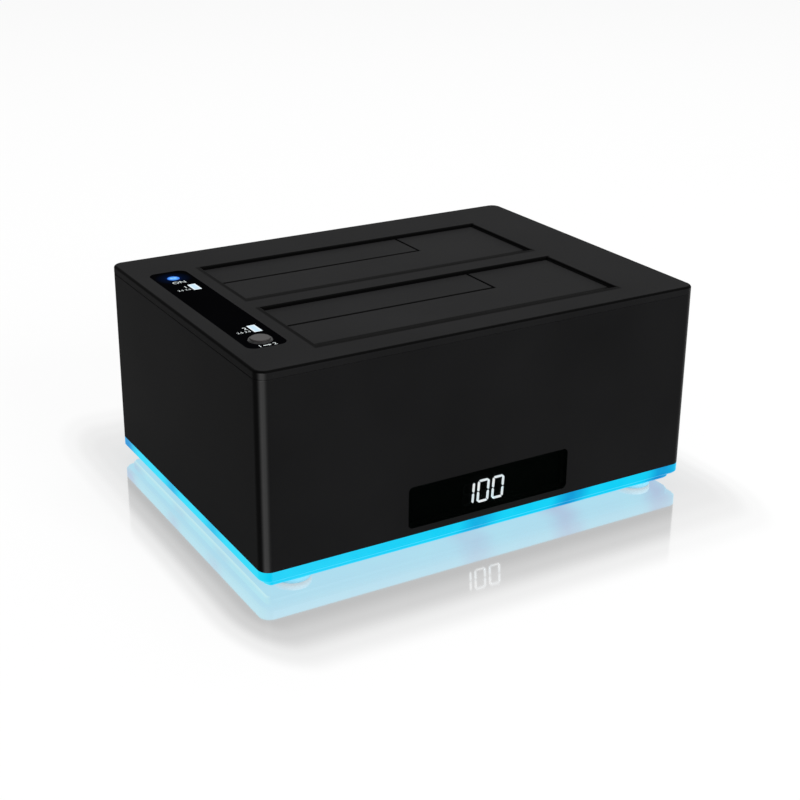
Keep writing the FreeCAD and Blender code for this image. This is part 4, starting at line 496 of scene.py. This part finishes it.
def finish_feet():
    """Milky silicone that the lit base shines through."""
    material, tree, shader, place = moulded("foot_rubber", (0.16, 0.22, 0.24), 0.62, 1500, 0.03, 0.2)
    rise = remap(tree, axes(tree, place)[2], 0.0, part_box("rubber_feet")[1].z)
    glow = ramp(tree, rise, ((0.0, shade(110, 160, 180)), (1.0, shade(100, 196, 228))))
    link(tree, glow, shader.inputs["Emission Color"])
    shader.inputs["Emission Strength"].default_value = 1
    return material


def finish_lamp():
    """Blue power lens with two pale spots of its light chip."""
    material, tree, shader, place = moulded(
        "lamp_blue", shade(4, 20, 60), 0.3, grain=900, depth=0.003, specular=0.03, spread=0.04
    )
    centre = middle("power_lamp")
    centre.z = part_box("power_lamp")[1].z
    lens_radius, spot_radius, spot_core = 1.95 * MM, 0.7 * MM, 0.2 * MM
    aside, back = 0.62 * MM, 0.2 * MM
    rim = remap(tree, distance_to(tree, place, centre), 0.0, lens_radius)
    blues = ((0.0, shade(90, 180, 252)), (0.6, shade(70, 162, 250)), (1.0, shade(30, 110, 225)))
    body = ramp(tree, rim, blues)
    for side in (-1, 1):
        pale_spot = centre + Vector((aside * side, back, 0))
        near = remap(tree, distance_to(tree, place, pale_spot), spot_radius, spot_core)
        body = mix_colour(tree, near, body, shade(150, 205, 255))
    link(tree, body, shader.inputs["Emission Color"])
    shader.inputs["Emission Strength"].default_value = 1.0
    return material


def finish_status_window():
    """Pale blue-white status light, brighter round its border."""
    material, tree, shader, place = moulded(
        "status_white", shade(40, 50, 60), 0.3, grain=1500, depth=0.004, specular=0.03, spread=0.05
    )
    x, y = axes(tree, place)[:2]
    borders = []
    for node in ("status_window_rear", "status_window_front"):
        low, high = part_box(node)
        centre = (low + high) / 2
        across = arithmetic(tree, "ABSOLUTE", arithmetic(tree, "SUBTRACT", x, centre.x))
        along = arithmetic(tree, "ABSOLUTE", arithmetic(tree, "SUBTRACT", y, centre.y))
        half = (high - low) / 2
        past_side = arithmetic(tree, "SUBTRACT", across, half.x)
        past_end = arithmetic(tree, "SUBTRACT", along, half.y)
        borders.append(arithmetic(tree, "MAXIMUM", past_side, past_end))
    rim_inner, rim_outer = -0.7 * MM, -0.1 * MM
    rim = remap(tree, arithmetic(tree, "MINIMUM", *borders), rim_inner, rim_outer)
    glow = mix_colour(tree, rim, shade(200, 228, 244), shade(244, 252, 255))
    link(tree, glow, shader.inputs["Emission Color"])
    shader.inputs["Emission Strength"].default_value = 0.95
    return material


def finish_board():
    """Green solder mask over fine copper tracks, with pale drilled pads."""
    material, tree, shader, place = moulded(
        "board_green", (0.006, 0.055, 0.025), 0.35, grain=2600, depth=0.004, specular=0.5, spread=0.05
    )
    tracks = add_node(tree, "ShaderNodeTexBrick", offset=0.37, squash=0.6, squash_frequency=3)
    link(tree, place, tracks.inputs["Vector"])
    sizes = {"Scale": 90.0, "Mortar Size": 0.012, "Mortar Smooth": 0.2, "Brick Width": 0.8}
    for name, value in sizes.items():
        tracks.inputs[name].default_value = value
    pads = add_node(tree, "ShaderNodeTexVoronoi", feature="F1")
    pads.inputs["Scale"].default_value = 210
    link(tree, place, pads.inputs["Vector"])
    pad = remap(tree, pads.outputs["Distance"], 0.13, 0.11)
    green = mix_colour(tree, tracks.outputs["Fac"], (0.006, 0.055, 0.025), (0.02, 0.13, 0.055))
    link(tree, mix_colour(tree, pad, green, (0.55, 0.53, 0.45)), shader.inputs["Base Color"])
    return material


def finish_chips():
    """Yellow phosphor of the light chips, with the cyan they give off."""
    chip, tree, shader, place = moulded("chip_yellow", (0.75, 0.5, 0.06), 0.3, grain=3000, depth=0.003)
    dome = add_node(tree, "ShaderNodeTexNoise")
    dome.inputs["Scale"].default_value = 800
    link(tree, place, dome.inputs["Vector"])
    glow = ramp(tree, dome.outputs["Fac"], ((0.3, (0.0, 0.55, 0.9)), (0.7, (0.3, 0.85, 1.0))))
    link(tree, glow, shader.inputs["Emission Color"])
    shader.inputs["Emission Strength"].default_value = 0.6
    return chip


# the housing's rounded edges, painted light: dark flank (painted shade), sheen (painted highlight) and dark
# rim (painted shade)
EDGE_PAINTED_LIGHT = (shade(14, 14, 14), shade(70, 70, 70), shade(7, 7, 7))
FINISHES = {
    "housing_black": lambda: moulded(
        "housing_black", shade(24, 24, 24.5), 0.52, 2600, 0.012, 0.01, edges=EDGE_PAINTED_LIGHT
    )[0],
    "cover_black": lambda: moulded(
        "cover_black", shade(27, 27, 27.5), 0.5, 2600, 0.012, 0.008, dust=0.02, edges=EDGE_PAINTED_LIGHT,
        lines=slot_painted_shade(),
    )[0],
    "flap_black": lambda: moulded(
        "flap_black", shade(28, 28, 28.5), 0.48, 2900, 0.012, 0.009, dust=0.02, lines=flap_painted_shade()
    )[0],
    "bay_black": lambda: moulded("bay_black", (0.008, 0.008, 0.008), 0.55, 2200, 0.018, 0.25)[0],
    "chassis_black": lambda: moulded("chassis_black", (0.012, 0.012, 0.012), 0.58, 1900, 0.025, 0.3)[0],
    "panel_gloss": finish_panel,
    "display_smoke": finish_window,
    "display_black": lambda: moulded("display_black", shade(6, 6, 7), 0.5, 2200, 0.01, 0.1)[0],
    "segment_lit": lambda: finish_segment(True),
    "segment_dark": lambda: finish_segment(False),
    "lit_plastic": finish_light_base,
    "strip_white": lambda: moulded("strip_white", (0.62, 0.66, 0.66), 0.45, 2400, 0.006, 0.4)[0],
    "chip_yellow": finish_chips,
    "foot_rubber": finish_feet,
    "screw_steel": lambda: metal("screw_steel", (0.3, 0.3, 0.31), 0.32, (1, 1, 0.1)),
    "pin_steel": lambda: metal("pin_steel", (0.55, 0.55, 0.56), 0.25, (0.03, 1, 1)),
    "spring_steel": lambda: metal("spring_steel", (0.45, 0.44, 0.42), 0.28, (0.2, 1, 1)),
    "socket_black": lambda: moulded("socket_black", (0.012, 0.012, 0.012), 0.42, 2400, 0.01, 0.4)[0],
    "contact_gold": lambda: metal("contact_gold", (0.85, 0.6, 0.25), 0.22, (1, 1, 0.1), 0.002),
    "board_green": finish_board,
    "chip_black": lambda: moulded("chip_black", (0.016, 0.016, 0.017), 0.5, 3000, 0.012, 0.4)[0],
    "capacitor_can": lambda: metal("capacitor_can", (0.72, 0.73, 0.75), 0.3, (1, 1, 0.02)),
    "port_steel": lambda: metal("port_steel", (0.6, 0.6, 0.62), 0.24, (1, 0.05, 1)),
    "tongue_black": lambda: moulded("tongue_black", (0.01, 0.01, 0.011), 0.4, 2400, 0.008, 0.4)[0],
    "jack_black": lambda: moulded("jack_black", (0.009, 0.009, 0.009), 0.42, 2200, 0.012, 0.35)[0],
    "jack_pin": lambda: metal("jack_pin", (0.7, 0.66, 0.55), 0.24, (1, 0.05, 1)),
    "switch_black": lambda: moulded("switch_black", (0.01, 0.01, 0.01), 0.46, 2200, 0.012, 0.15)[0],
    "rocker_black": lambda: moulded("rocker_black", (0.009, 0.009, 0.0095), 0.42, 1500, 0.006, 0.12)[0],
    "button_black": lambda: moulded("button_black", (0.03, 0.027, 0.027), 0.42, 2600, 0.008, 0.15)[0],
    "ring_black": lambda: moulded("ring_black", (0.012, 0.012, 0.012), 0.3, 2000, 0.005, 0.2)[0],
    "plunger_grey": lambda: moulded("plunger_grey", (0.1, 0.1, 0.1), 0.45, 2200, 0.008, 0.3)[0],
    "lamp_blue": finish_lamp,
    "status_white": finish_status_window,
}


def dress_nodes():
    """Every part of the frame takes the finish of its material slot."""
    made = {name: make() for name, make in FINISHES.items()}
    for entry in frame["record"]["subparts"]:
        part = nodes[entry["node"]]
        part.data.materials.clear()
        part.data.materials.append(made[entry["material_slot"]])
    return made


# ---------------------------------------------------------------- pieces over the frame
def finished_piece(name, mesh, slot, body):
    """An object at the origin with its place in its mesh, dressed by its slot and riding on a body."""
    piece = bpy.data.objects.new(name, mesh)
    scene.collection.objects.link(piece)
    mesh.materials.clear()
    mesh.materials.append(finishes[slot])
    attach(piece, body)
    return piece


def solids_of(node):
    """The lowest and highest corner of each separate solid of a node."""
    shape = bmesh.new()
    shape.from_mesh(nodes[node].data)
    bmesh.ops.remove_doubles(shape, verts=shape.verts, dist=1e-6)
    left, boxes = set(shape.verts), []
    while left:
        edge = [left.pop()]
        low, high = edge[0].co.copy(), edge[0].co.copy()
        while edge:
            point = edge.pop()
            low = Vector(map(min, low, point.co))
            high = Vector(map(max, high, point.co))
            for line in point.link_edges:
                other = line.other_vert(point)
                if other in left:
                    left.discard(other)
                    edge.append(other)
        boxes.append((low, high))
    shape.free()
    return sorted(boxes, key=lambda ends: tuple(ends[0]))


# ---------------------------------------------------------------- printed marks
def print_shape(shape, outline, low, thickness):
    """A closed flat print, from an outline of x, y points going anticlockwise."""
    bottom = [shape.verts.new((x, y, low)) for x, y in outline]
    top = [shape.verts.new((x, y, low + thickness)) for x, y in outline]
    shape.faces.new(reversed(bottom))
    shape.faces.new(top)
    for index, corner in enumerate(bottom):
        after = (index + 1) % len(bottom)
        shape.faces.new((corner, bottom[after], top[after], top[index]))


def print_ring(shape, centre, radius, width, low, thickness, steps=36):
    """A ring, in short pieces that share their ends."""
    for step in range(steps):
        corners = []
        for part, reach in ((step, 1), (step + 1, 1), (step + 1, -1), (step, -1)):
            angle = math.radians(360 * part / steps)
            distance = radius + reach * width / 2
            corners.append((centre[0] + distance * math.cos(angle), centre[1] + distance * math.sin(angle)))
        print_shape(shape, corners, low, thickness)


def bar(x, y, width, height):
    return [(x - width / 2, y - height / 2), (x + width / 2, y - height / 2), (x + width / 2, y + height / 2),
            (x - width / 2, y + height / 2)]


def print_number(shape, text, height, x, y, low, thickness, align="CENTER"):
    """Plain characters lying on a level, centred on x, y, or ending at x when aligned RIGHT."""
    capital_share = 0.7
    letters = bpy.data.curves.new("number", "FONT")
    letters.body = text
    letters.size = height / capital_share
    letters.align_x = align
    letters.align_y = "CENTER"
    letters.extrude = thickness / 2
    letters.resolution_u = 4
    holder = bpy.data.objects.new("number", letters)
    scene.collection.objects.link(holder)
    mesh = bpy.data.meshes.new_from_object(holder.evaluated_get(bpy.context.evaluated_depsgraph_get()))
    mesh.transform(Matrix.Translation((x, y, low + thickness / 2)))
    shape.from_mesh(mesh)
    bmesh.ops.remove_doubles(shape, verts=shape.verts, dist=1e-7)
    bpy.data.objects.remove(holder)
    bpy.data.meshes.remove(mesh)


def print_panel():
    """Pad-printed marks on the strip: ON by the lamp, bay numbers and drive sizes, 1 to 2 by the button."""
    low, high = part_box("control_panel")
    face, ink = high.z + 0.01 * MM, 0.02 * MM
    word, bay_number, drive_size, arrow_number = 2.0 * MM, 1.9 * MM, 1.1 * MM, 1.6 * MM
    below_lamp, window_gap, number_rise, size_drop = 4.8 * MM, 0.7 * MM, 0.8 * MM, 1.7 * MM
    lamp, button = middle("power_lamp"), middle("clone_button")
    shape = bmesh.new()
    print_number(shape, "ON", word, lamp.x, lamp.y - below_lamp, face, ink)
    for node, number in (("status_window_rear", "1"), ("status_window_front", "2")):
        window, edge = middle(node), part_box(node)[0].x - window_gap
        print_number(shape, number, bay_number, edge, window.y + number_rise, face, ink, "RIGHT")
        print_number(shape, "2.5 3.5", drive_size, edge, window.y - size_drop, face, ink, "RIGHT")
    row = (low.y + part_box("button_ring")[0].y) / 2 + 0.1 * MM
    aside, shaft, line = 2.3 * MM, 1.8 * MM, 0.4 * MM
    for number, across in (("1", -aside), ("2", aside)):
        print_number(shape, number, arrow_number, button.x + across, row, face, ink)
    tip, barb, barb_half = button.x + 1.2 * MM, 0.9 * MM, 0.6 * MM
    print_shape(shape, bar(button.x - line, row, shaft, line), face, ink)
    print_shape(shape, [(tip - barb, row - barb_half), (tip, row), (tip - barb, row + barb_half)], face, ink)
    mesh = bpy.data.meshes.new("panel_marks")
    shape.to_mesh(mesh)
    shape.free()
    finished_piece("panel_marks", mesh, "strip_white", "housing")


def print_rocker():
    """The stroke and the ring of an on-off rocker, laid on its dished face."""
    rocker, (low, high) = nodes["power_rocker"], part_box("power_rocker")
    centre = (low + high) / 2
    aside, line, ink, lift = 3.3 * MM, 0.5 * MM, 0.03 * MM, 0.01 * MM
    stroke, ring_radius, clear_of_rocker = 3.0 * MM, 1.3 * MM, 10 * MM
    shape = bmesh.new()
    print_shape(shape, bar(-aside, 0, line, stroke), 0, ink)
    print_ring(shape, (aside, 0), ring_radius, line, 0, ink)
    tree = BVHTree.FromObject(rocker, bpy.context.evaluated_depsgraph_get())
    for point in shape.verts:
        x, up, rise = point.co
        outside = Vector((centre.x - x, high.y + clear_of_rocker, centre.z + up))
        hit = tree.ray_cast(outside, Vector((0, -1, 0)))[0]
        point.co = (hit.x, hit.y + lift + rise, hit.z)
    mesh = bpy.data.meshes.new("rocker_marks")
    shape.to_mesh(mesh)
    shape.free()
    finished_piece("rocker_marks", mesh, "strip_white", "power_rocker")


# ---------------------------------------------------------------- repeated pieces, by Geometry Nodes
def start_pattern(name, *sizes):
    """A Geometry Nodes tree fed by points and named sizes: the tree, its way in and the sizes' sockets."""
    tree = bpy.data.node_groups.new(name, "GeometryNodeTree")
    tree.interface.new_socket("Geometry", in_out="INPUT", socket_type="NodeSocketGeometry")
    for label in sizes:
        kind = "NodeSocketVector" if label == "Turn" else "NodeSocketFloat"
        tree.interface.new_socket(label, in_out="INPUT", socket_type=kind)
    tree.interface.new_socket("Finish", in_out="INPUT", socket_type="NodeSocketMaterial")
    tree.interface.new_socket("Geometry", in_out="OUTPUT", socket_type="NodeSocketGeometry")
    entry = add_node(tree, "NodeGroupInput")
    return tree, entry, [entry.outputs[label] for label in sizes]


def feed(tree, node, **values):
    """Link or set inputs of a node or of a new one of that kind; an underscore stands for a space."""
    if isinstance(node, str):
        node = add_node(tree, node)
    for name, value in values.items():
        slot = node.inputs[name.replace("_", " ")]
        if isinstance(value, bpy.types.NodeSocket):
            link(tree, value, slot)
        else:
            slot.default_value = value
    return node.outputs[0]


def spot(tree, x=0.0, y=0.0, z=0.0):
    return feed(tree, "ShaderNodeCombineXYZ", X=x, Y=y, Z=z)


def moved(tree, geometry, **change):
    """Geometry moved, turned or scaled: Translation, Rotation and Scale, each a socket or numbers."""
    return feed(tree, "GeometryNodeTransform", Geometry=geometry, **change)


def joined(tree, parts):
    node = add_node(tree, "GeometryNodeJoinGeometry")
    for part in parts:
        link(tree, part, node.inputs[0])
    return node.outputs[0]


def turned(tree, sides, rings):
    """A closed turned body on the Z axis, from its rings' radii and heights, lowest first."""
    parts = []
    for (below, low), (above, high) in zip(rings, rings[1:]):
        wall = add_node(tree, "GeometryNodeMeshCone", fill_type="NONE")
        depth = arithmetic(tree, "SUBTRACT", high, low)
        ring = feed(tree, wall, Vertices=sides, Radius_Bottom=below, Radius_Top=above, Depth=depth)
        parts.append(moved(tree, ring, Translation=spot(tree, z=low)))
    for (radius, height), way in ((rings[0], math.pi), (rings[-1], 0.0)):
        disc = add_node(tree, "GeometryNodeMeshCircle", fill_type="NGON")
        lid = feed(tree, disc, Vertices=sides, Radius=radius)
        parts.append(moved(tree, lid, Translation=spot(tree, z=height), Rotation=(way, 0.0, 0.0)))
    return feed(tree, "GeometryNodeMergeByDistance", Geometry=joined(tree, parts), Distance=1e-6)


def swept(tree, curve, section):
    return feed(tree, "GeometryNodeCurveToMesh", Curve=curve, Profile_Curve=section, Fill_Caps=True)


def round_section(tree, radius, sides=8):
    return feed(tree, "GeometryNodeCurvePrimitiveCircle", Resolution=sides, Radius=radius)


def flat_section(tree, width, height):
    return feed(tree, "GeometryNodeCurvePrimitiveQuadrilateral", Width=width, Height=height)


def wound_curve(tree, points_per_turn, turns, radius, height):
    return feed(
        tree, "GeometryNodeCurveSpiral", Resolution=points_per_turn, Rotations=turns, Start_Radius=radius,
        End_Radius=radius, Height=height,
    )


def end_pattern(tree, entry, part, **change):
    """One part on every point, made real, with its finish."""
    points = entry.outputs["Geometry"]
    placed = feed(tree, "GeometryNodeInstanceOnPoints", Points=points, Instance=part, **change)
    real = feed(tree, "GeometryNodeRealizeInstances", Geometry=placed)
    dressed = feed(tree, "GeometryNodeSetMaterial", Geometry=real, Material=entry.outputs["Finish"])
    link(tree, dressed, add_node(tree, "NodeGroupOutput").inputs["Geometry"])
    return tree


def grow_pattern(name, tree, points, node, body="housing", **sizes):
    """Run a pattern on points and keep its plain mesh; on the housing it takes the node's place."""
    slot = next(entry["material_slot"] for entry in frame["record"]["subparts"] if entry["node"] == node)
    seeds = bpy.data.meshes.new(name)
    seeds.from_pydata([tuple(point) for point in points], [], [])
    holder = bpy.data.objects.new(name, seeds)
    scene.collection.objects.link(holder)
    modifier = holder.modifiers.new(name, "NODES")
    modifier.node_group = tree
    sockets = {item.name: item.identifier for item in tree.interface.items_tree if item.in_out == "INPUT"}
    modifier[sockets["Finish"]] = finishes[slot]
    for label, value in sizes.items():
        modifier[sockets[label.replace("_", " ")]] = value
    bpy.context.view_layer.update()
    mesh = bpy.data.meshes.new_from_object(holder.evaluated_get(bpy.context.evaluated_depsgraph_get()))
    holder.modifiers.remove(modifier)
    bpy.data.objects.remove(holder)
    piece = finished_piece(name, mesh, slot, body)
    if body == "housing":
        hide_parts(node)


def bottoms(node):
    """The middle of the bottom of each solid's box, and the first solid's size."""
    boxes = solids_of(node)
    size = boxes[0][1] - boxes[0][0]
    return [Vector(((low.x + high.x) / 2, (low.y + high.y) / 2, low.z)) for low, high in boxes], size


def screw_pattern():
    """A cross-head screw seated on the point: bevelled head below, tapered shank and wound thread above."""
    tree, entry, (head, rise, shank, length, pitch, turn) = start_pattern(
        "cross_head_screw", "Head radius", "Head height", "Shank radius", "Length", "Thread pitch", "Turn"
    )
    core = times(tree, shank, 0.82)
    rings = (
        (times(tree, head, 0.74), times(tree, rise, -1.0)),
        (times(tree, head, 0.93), times(tree, rise, -0.85)),
        (head, times(tree, rise, -0.55)),
        (head, 0.0),
        (core, 0.0),
        (core, times(tree, length, 0.86)),
        (times(tree, core, 0.45), length),
    )
    blades = []
    for wide, narrow in ((1.15, 0.2), (0.2, 1.15)):
        size = spot(tree, times(tree, head, wide), times(tree, head, narrow), times(tree, rise, 1.1))
        blade = feed(tree, "GeometryNodeMeshCube", Size=size)
        blades.append(moved(tree, blade, Translation=spot(tree, z=times(tree, rise, -1.0))))
    cut = add_node(tree, "GeometryNodeMeshBoolean", operation="DIFFERENCE", solver="EXACT")
    link(tree, turned(tree, 24, rings), cut.inputs["Mesh 1"])
    for blade in blades:
        link(tree, blade, cut.inputs["Mesh 2"])
    wound = times(tree, length, 0.8)
    helix = wound_curve(tree, 12, arithmetic(tree, "DIVIDE", wound, pitch), core, wound)
    thread = swept(tree, helix, round_section(tree, times(tree, shank, 0.17), 3))
    raised = moved(tree, thread, Translation=spot(tree, z=times(tree, length, 0.04)))
    return end_pattern(tree, entry, joined(tree, (cut.outputs["Mesh"], raised)), Rotation=turn)


def set_screws():
    """Every screw of the frame with its thread and cross; only the main board's point down."""
    pattern = screw_pattern()
    for node, rise, shank_share, pitch, way in (
        ("base_screws", 1.3 * MM, 0.5, 1.1 * MM, 1),
        ("bay_screws", 1.2 * MM, 0.56, 0.7 * MM, 1),
        ("indicator_screws", 1.2 * MM, 0.56, 0.7 * MM, 1),
        ("board_screws", 1.2 * MM, 0.56, 0.7 * MM, -1),
    ):
        seats, size = bottoms(node)
        for seat in seats:
            seat.z += rise if way > 0 else size.z - rise
        grow_pattern(
            f"{node}_threaded", pattern, seats, node, Head_radius=size.x / 2, Head_height=rise,
            Shank_radius=size.x / 2 * shank_share, Length=size.z - rise, Thread_pitch=pitch,
            Turn=(0.0 if way > 0 else math.pi, 0.0, 0.0),
        )


def foot_pattern():
    """A rubber foot: a bevelled pad with two raised rings on its sole."""
    tree, entry, (radius, rise, bevel) = start_pattern("ringed_foot", "Radius", "Height", "Bevel")
    lift = times(tree, bevel, 0.35)
    rings = (
        (arithmetic(tree, "SUBTRACT", radius, bevel), lift),
        (arithmetic(tree, "SUBTRACT", radius, times(tree, bevel, 0.4)), times(tree, bevel, 0.62)),
        (radius, times(tree, bevel, 1.35)),
        (radius, rise),
    )
    parts = [turned(tree, 48, rings)]
    for share, width in ((0.76, 0.13), (0.4, 0.13)):
        path = round_section(tree, times(tree, radius, share), 48)
        section = flat_section(tree, times(tree, radius, width), times(tree, lift, 2.0))
        parts.append(moved(tree, swept(tree, path, section), Translation=spot(tree, z=lift)))
    return end_pattern(tree, entry, joined(tree, parts))


def set_feet():
    seats, size = bottoms("rubber_feet")
    grow_pattern(
        "feet_ringed", foot_pattern(), seats, "rubber_feet", Radius=size.x / 2, Height=size.z, Bevel=0.5 * MM
    )


def contact_pattern():
    """A socket's spring contact: a leaf that bows towards the drive's blade and back."""
    tree, entry, (width, thickness, rise, bow) = start_pattern(
        "spring_contact", "Width", "Thickness", "Height", "Bow"
    )
    path = feed(
        tree, "GeometryNodeCurvePrimitiveBezierSegment", Resolution=8, Start=spot(tree),
        Start_Handle=spot(tree, z=times(tree, rise, 0.45)),
        End_Handle=spot(tree, y=bow, z=times(tree, rise, 0.7)), End=spot(tree, z=rise),
    )
    return end_pattern(tree, entry, swept(tree, path, flat_section(tree, width, thickness)))


def set_contacts():
    """The gold contacts of both drive sockets."""
    pattern = contact_pattern()
    for node in ("sata_contacts_rear", "sata_contacts_front"):
        seats, size = bottoms(node)
        grow_pattern(
            f"{node}_bowed", pattern, seats, node, Width=size.x, Thickness=size.y, Height=size.z, Bow=0.6 * MM
        )


def spring_pattern(name, leg_side):
    """Turns wound along X with their middle at the point, and one straight leg.

    Way is the side the flap lies on. The leg is under the flap for a leg_side of 1, and against the slot's
    wall for -1.
    """
    tree, entry, (coil, length, turns, wire, way, lift, leg) = start_pattern(
        name, "Coil radius", "Coil length", "Turns", "Wire radius", "Way", "Lift", "Leg"
    )
    half = times(tree, length, 0.5)
    helix = wound_curve(tree, 20, turns, coil, length)
    laid = moved(tree, helix, Rotation=(0.0, -math.pi / 2, 0.0), Translation=spot(tree, x=half))
    end = times(tree, half, -leg_side)
    start = spot(tree, x=end, z=coil)
    tip = spot(tree, x=end, y=times(tree, leg, leg_side), z=arithmetic(tree, "ADD", coil, lift))
    ends = (tip, start) if leg_side > 0 else (start, tip)
    straight = feed(tree, "GeometryNodeCurvePrimitiveLine", Start=ends[0], End=ends[1])
    section = round_section(tree, wire)
    sided = [moved(tree, curve, Scale=spot(tree, 1.0, way, 1.0)) for curve in (laid, straight)]
    return end_pattern(tree, entry, joined(tree, [swept(tree, curve, section) for curve in sided]))


def wind_springs():
    """The torsion springs on the hinge pins; the last turn and the leg under the flap turn with the flap."""
    fixed, loose = spring_pattern("spring_coil", -1), spring_pattern("spring_leg", 1)
    beside_coil = Vector((-1.25 * MM, 0, 0))
    for side in ("rear", "front"):
        for kind, way in (("large", 1.0), ("small", -1.0)):
            node, pin = f"{kind}_flap_spring_{side}", middle(f"{kind}_hinge_pin_{side}")
            seat = Vector((middle(node).x, pin.y, pin.z))
            wire = {"Coil_radius": 0.85 * MM, "Wire_radius": 0.15 * MM, "Way": way}
            grow_pattern(
                f"{node}_wound", fixed, [seat], node, Coil_length=1.4 * MM, Turns=3.0, Lift=0.0, Leg=1.7 * MM,
                **wire,
            )
            grow_pattern(
                f"{node}_leg", loose, [seat + beside_coil], node, body=f"{kind}_flap_{side}",
                Coil_length=0.35 * MM, Turns=1.0, Lift=0.3 * MM, Leg=4.0 * MM, **wire,
            )


def can_pattern():
    """A capacitor's can: pressed lid with a raised rim and a rolled groove near its foot."""
    tree, entry, (radius, rise) = start_pattern("capacitor_can", "Radius", "Height")
    inset = times(tree, radius, 0.9)
    lid = arithmetic(tree, "SUBTRACT", rise, 0.2 * MM)
    groove = ((radius, 0.3), (radius, 1.0), (inset, 1.3), (inset, 1.5), (radius, 1.8))
    rings = (
        (inset, 0.0), *((reach, height * MM) for reach, height in groove), (radius, lid), (inset, rise),
        (times(tree, radius, 0.84), rise), (times(tree, radius, 0.8), lid),
    )
    return end_pattern(tree, entry, turned(tree, 32, rings))


def set_capacitors():
    seats, size = bottoms("capacitors")
    grow_pattern("capacitor_cans", can_pattern(), seats, "capacitors", Radius=size.x / 2, Height=size.z)


# ---------------------------------------------------------------- floor and light
def seen_directly(tree):
    """1 to the camera, in gloss and through clear pieces, and 0 to soft light."""
    light_path = add_node(tree, "ShaderNodeLightPath")
    seen = light_path.outputs["Is Camera Ray"]
    for ray in ("Is Glossy Ray", "Is Transmission Ray"):
        seen = arithmetic(tree, "MAXIMUM", seen, light_path.outputs[ray])
    return seen


def lay_floor():
    """A white polished floor that mirrors the dock near its foot and turns plain white farther out."""
    mesh = bpy.data.meshes.new("floor")
    shape = bmesh.new()
    bmesh.ops.create_circle(shape, cap_ends=True, segments=96, radius=6.0)
    shape.to_mesh(mesh)
    shape.free()
    floor = bpy.data.objects.new("floor", mesh)
    scene.collection.objects.link(floor)
    material = bpy.data.materials.new("floor_white")
    material.use_nodes = True
    tree = material.node_tree
    tree.nodes.clear()
    place = add_node(tree, "ShaderNodeTexCoord").outputs["Object"]
    x, y = axes(tree, place)[:2]
    high = cad_box[1]
    mirror_reach, aside_share = 0.042, 2.1
    outside = []
    for value, half in ((x, high.x), (y, high.y)):
        past = arithmetic(tree, "SUBTRACT", arithmetic(tree, "ABSOLUTE", value), half)
        outside.append(arithmetic(tree, "MAXIMUM", past, 0.0))
    aside, ahead = times(tree, outside[0], aside_share), outside[1]
    squares = arithmetic(tree, "ADD", times(tree, aside, aside), times(tree, ahead, ahead))
    away = arithmetic(tree, "SQRT", squares)
    shares = ((0.0, 0.55), (0.3, 0.47), (0.51, 0.35), (0.76, 0.13), (1.0, 0.0))
    polish = grey_ramp(tree, remap(tree, away, 0.0, mirror_reach), shares)
    matt = add_node(tree, "ShaderNodeBsdfDiffuse")
    speckle = add_node(tree, "ShaderNodeTexNoise")
    speckle.inputs["Scale"].default_value = 300
    link(tree, place, speckle.inputs["Vector"])
    pale = ramp(tree, speckle.outputs["Fac"], ((0.3, (0.84,) * 3), (0.7, (0.86,) * 3)))
    link(tree, pale, matt.inputs["Color"])
    shown = add_node(tree, "ShaderNodeEmission")
    link(tree, seen_directly(tree), shown.inputs["Strength"])
    plain = add_node(tree, "ShaderNodeMixShader")
    plain.inputs["Fac"].default_value = 0.9
    link(tree, matt.outputs[0], plain.inputs[1])
    link(tree, shown.outputs[0], plain.inputs[2])
    mirror = add_node(tree, "ShaderNodeBsdfGlossy")
    mirror.inputs["Roughness"].default_value = 0.07
    both = add_node(tree, "ShaderNodeMixShader")
    link(tree, polish, both.inputs["Fac"])
    link(tree, plain.outputs[0], both.inputs[1])
    link(tree, mirror.outputs[0], both.inputs[2])
    leave = add_node(tree, "ShaderNodeOutputMaterial")
    link(tree, both.outputs[0], leave.inputs["Surface"])
    mesh.materials.append(material)


def light_world():
    """White to the eye and in gloss, with a softer light from all round."""
    world = bpy.data.worlds.new("studio")
    scene.world = world
    world.use_nodes = True
    tree = world.node_tree
    tree.nodes.clear()
    around = arithmetic(tree, "MAXIMUM", seen_directly(tree), 0.4)
    back = add_node(tree, "ShaderNodeBackground")
    link(tree, around, back.inputs["Strength"])
    leave = add_node(tree, "ShaderNodeOutputWorld")
    link(tree, back.outputs[0], leave.inputs["Surface"])


def add_lamp(name, location, target, size, power):
    """A square soft box aimed at a spot."""
    data = bpy.data.lights.new(name, "AREA")
    data.size = size
    data.energy = power
    lamp = bpy.data.objects.new(name, data)
    lamp.location = location
    lamp.rotation_euler = (Vector(target) - Vector(location)).to_track_quat("-Z", "Y").to_euler()
    scene.collection.objects.link(lamp)


def light_dock():
    light_world()
    dock_middle = (0, 0, 0.03)
    add_lamp("overhead_box", (0.25, 0.35, 1.1), dock_middle, size=0.9, power=9)
    add_lamp("side_box", (-0.9, -0.35, 0.75), dock_middle, size=0.5, power=1.2)
    add_lamp("front_box", (0.25, -1.1, 0.6), dock_middle, size=0.5, power=14)


aim_camera()
finishes = dress_nodes()
print_panel()
print_rocker()
set_screws()
set_feet()
set_contacts()
wind_springs()
set_capacitors()
lay_floor()
light_dock()
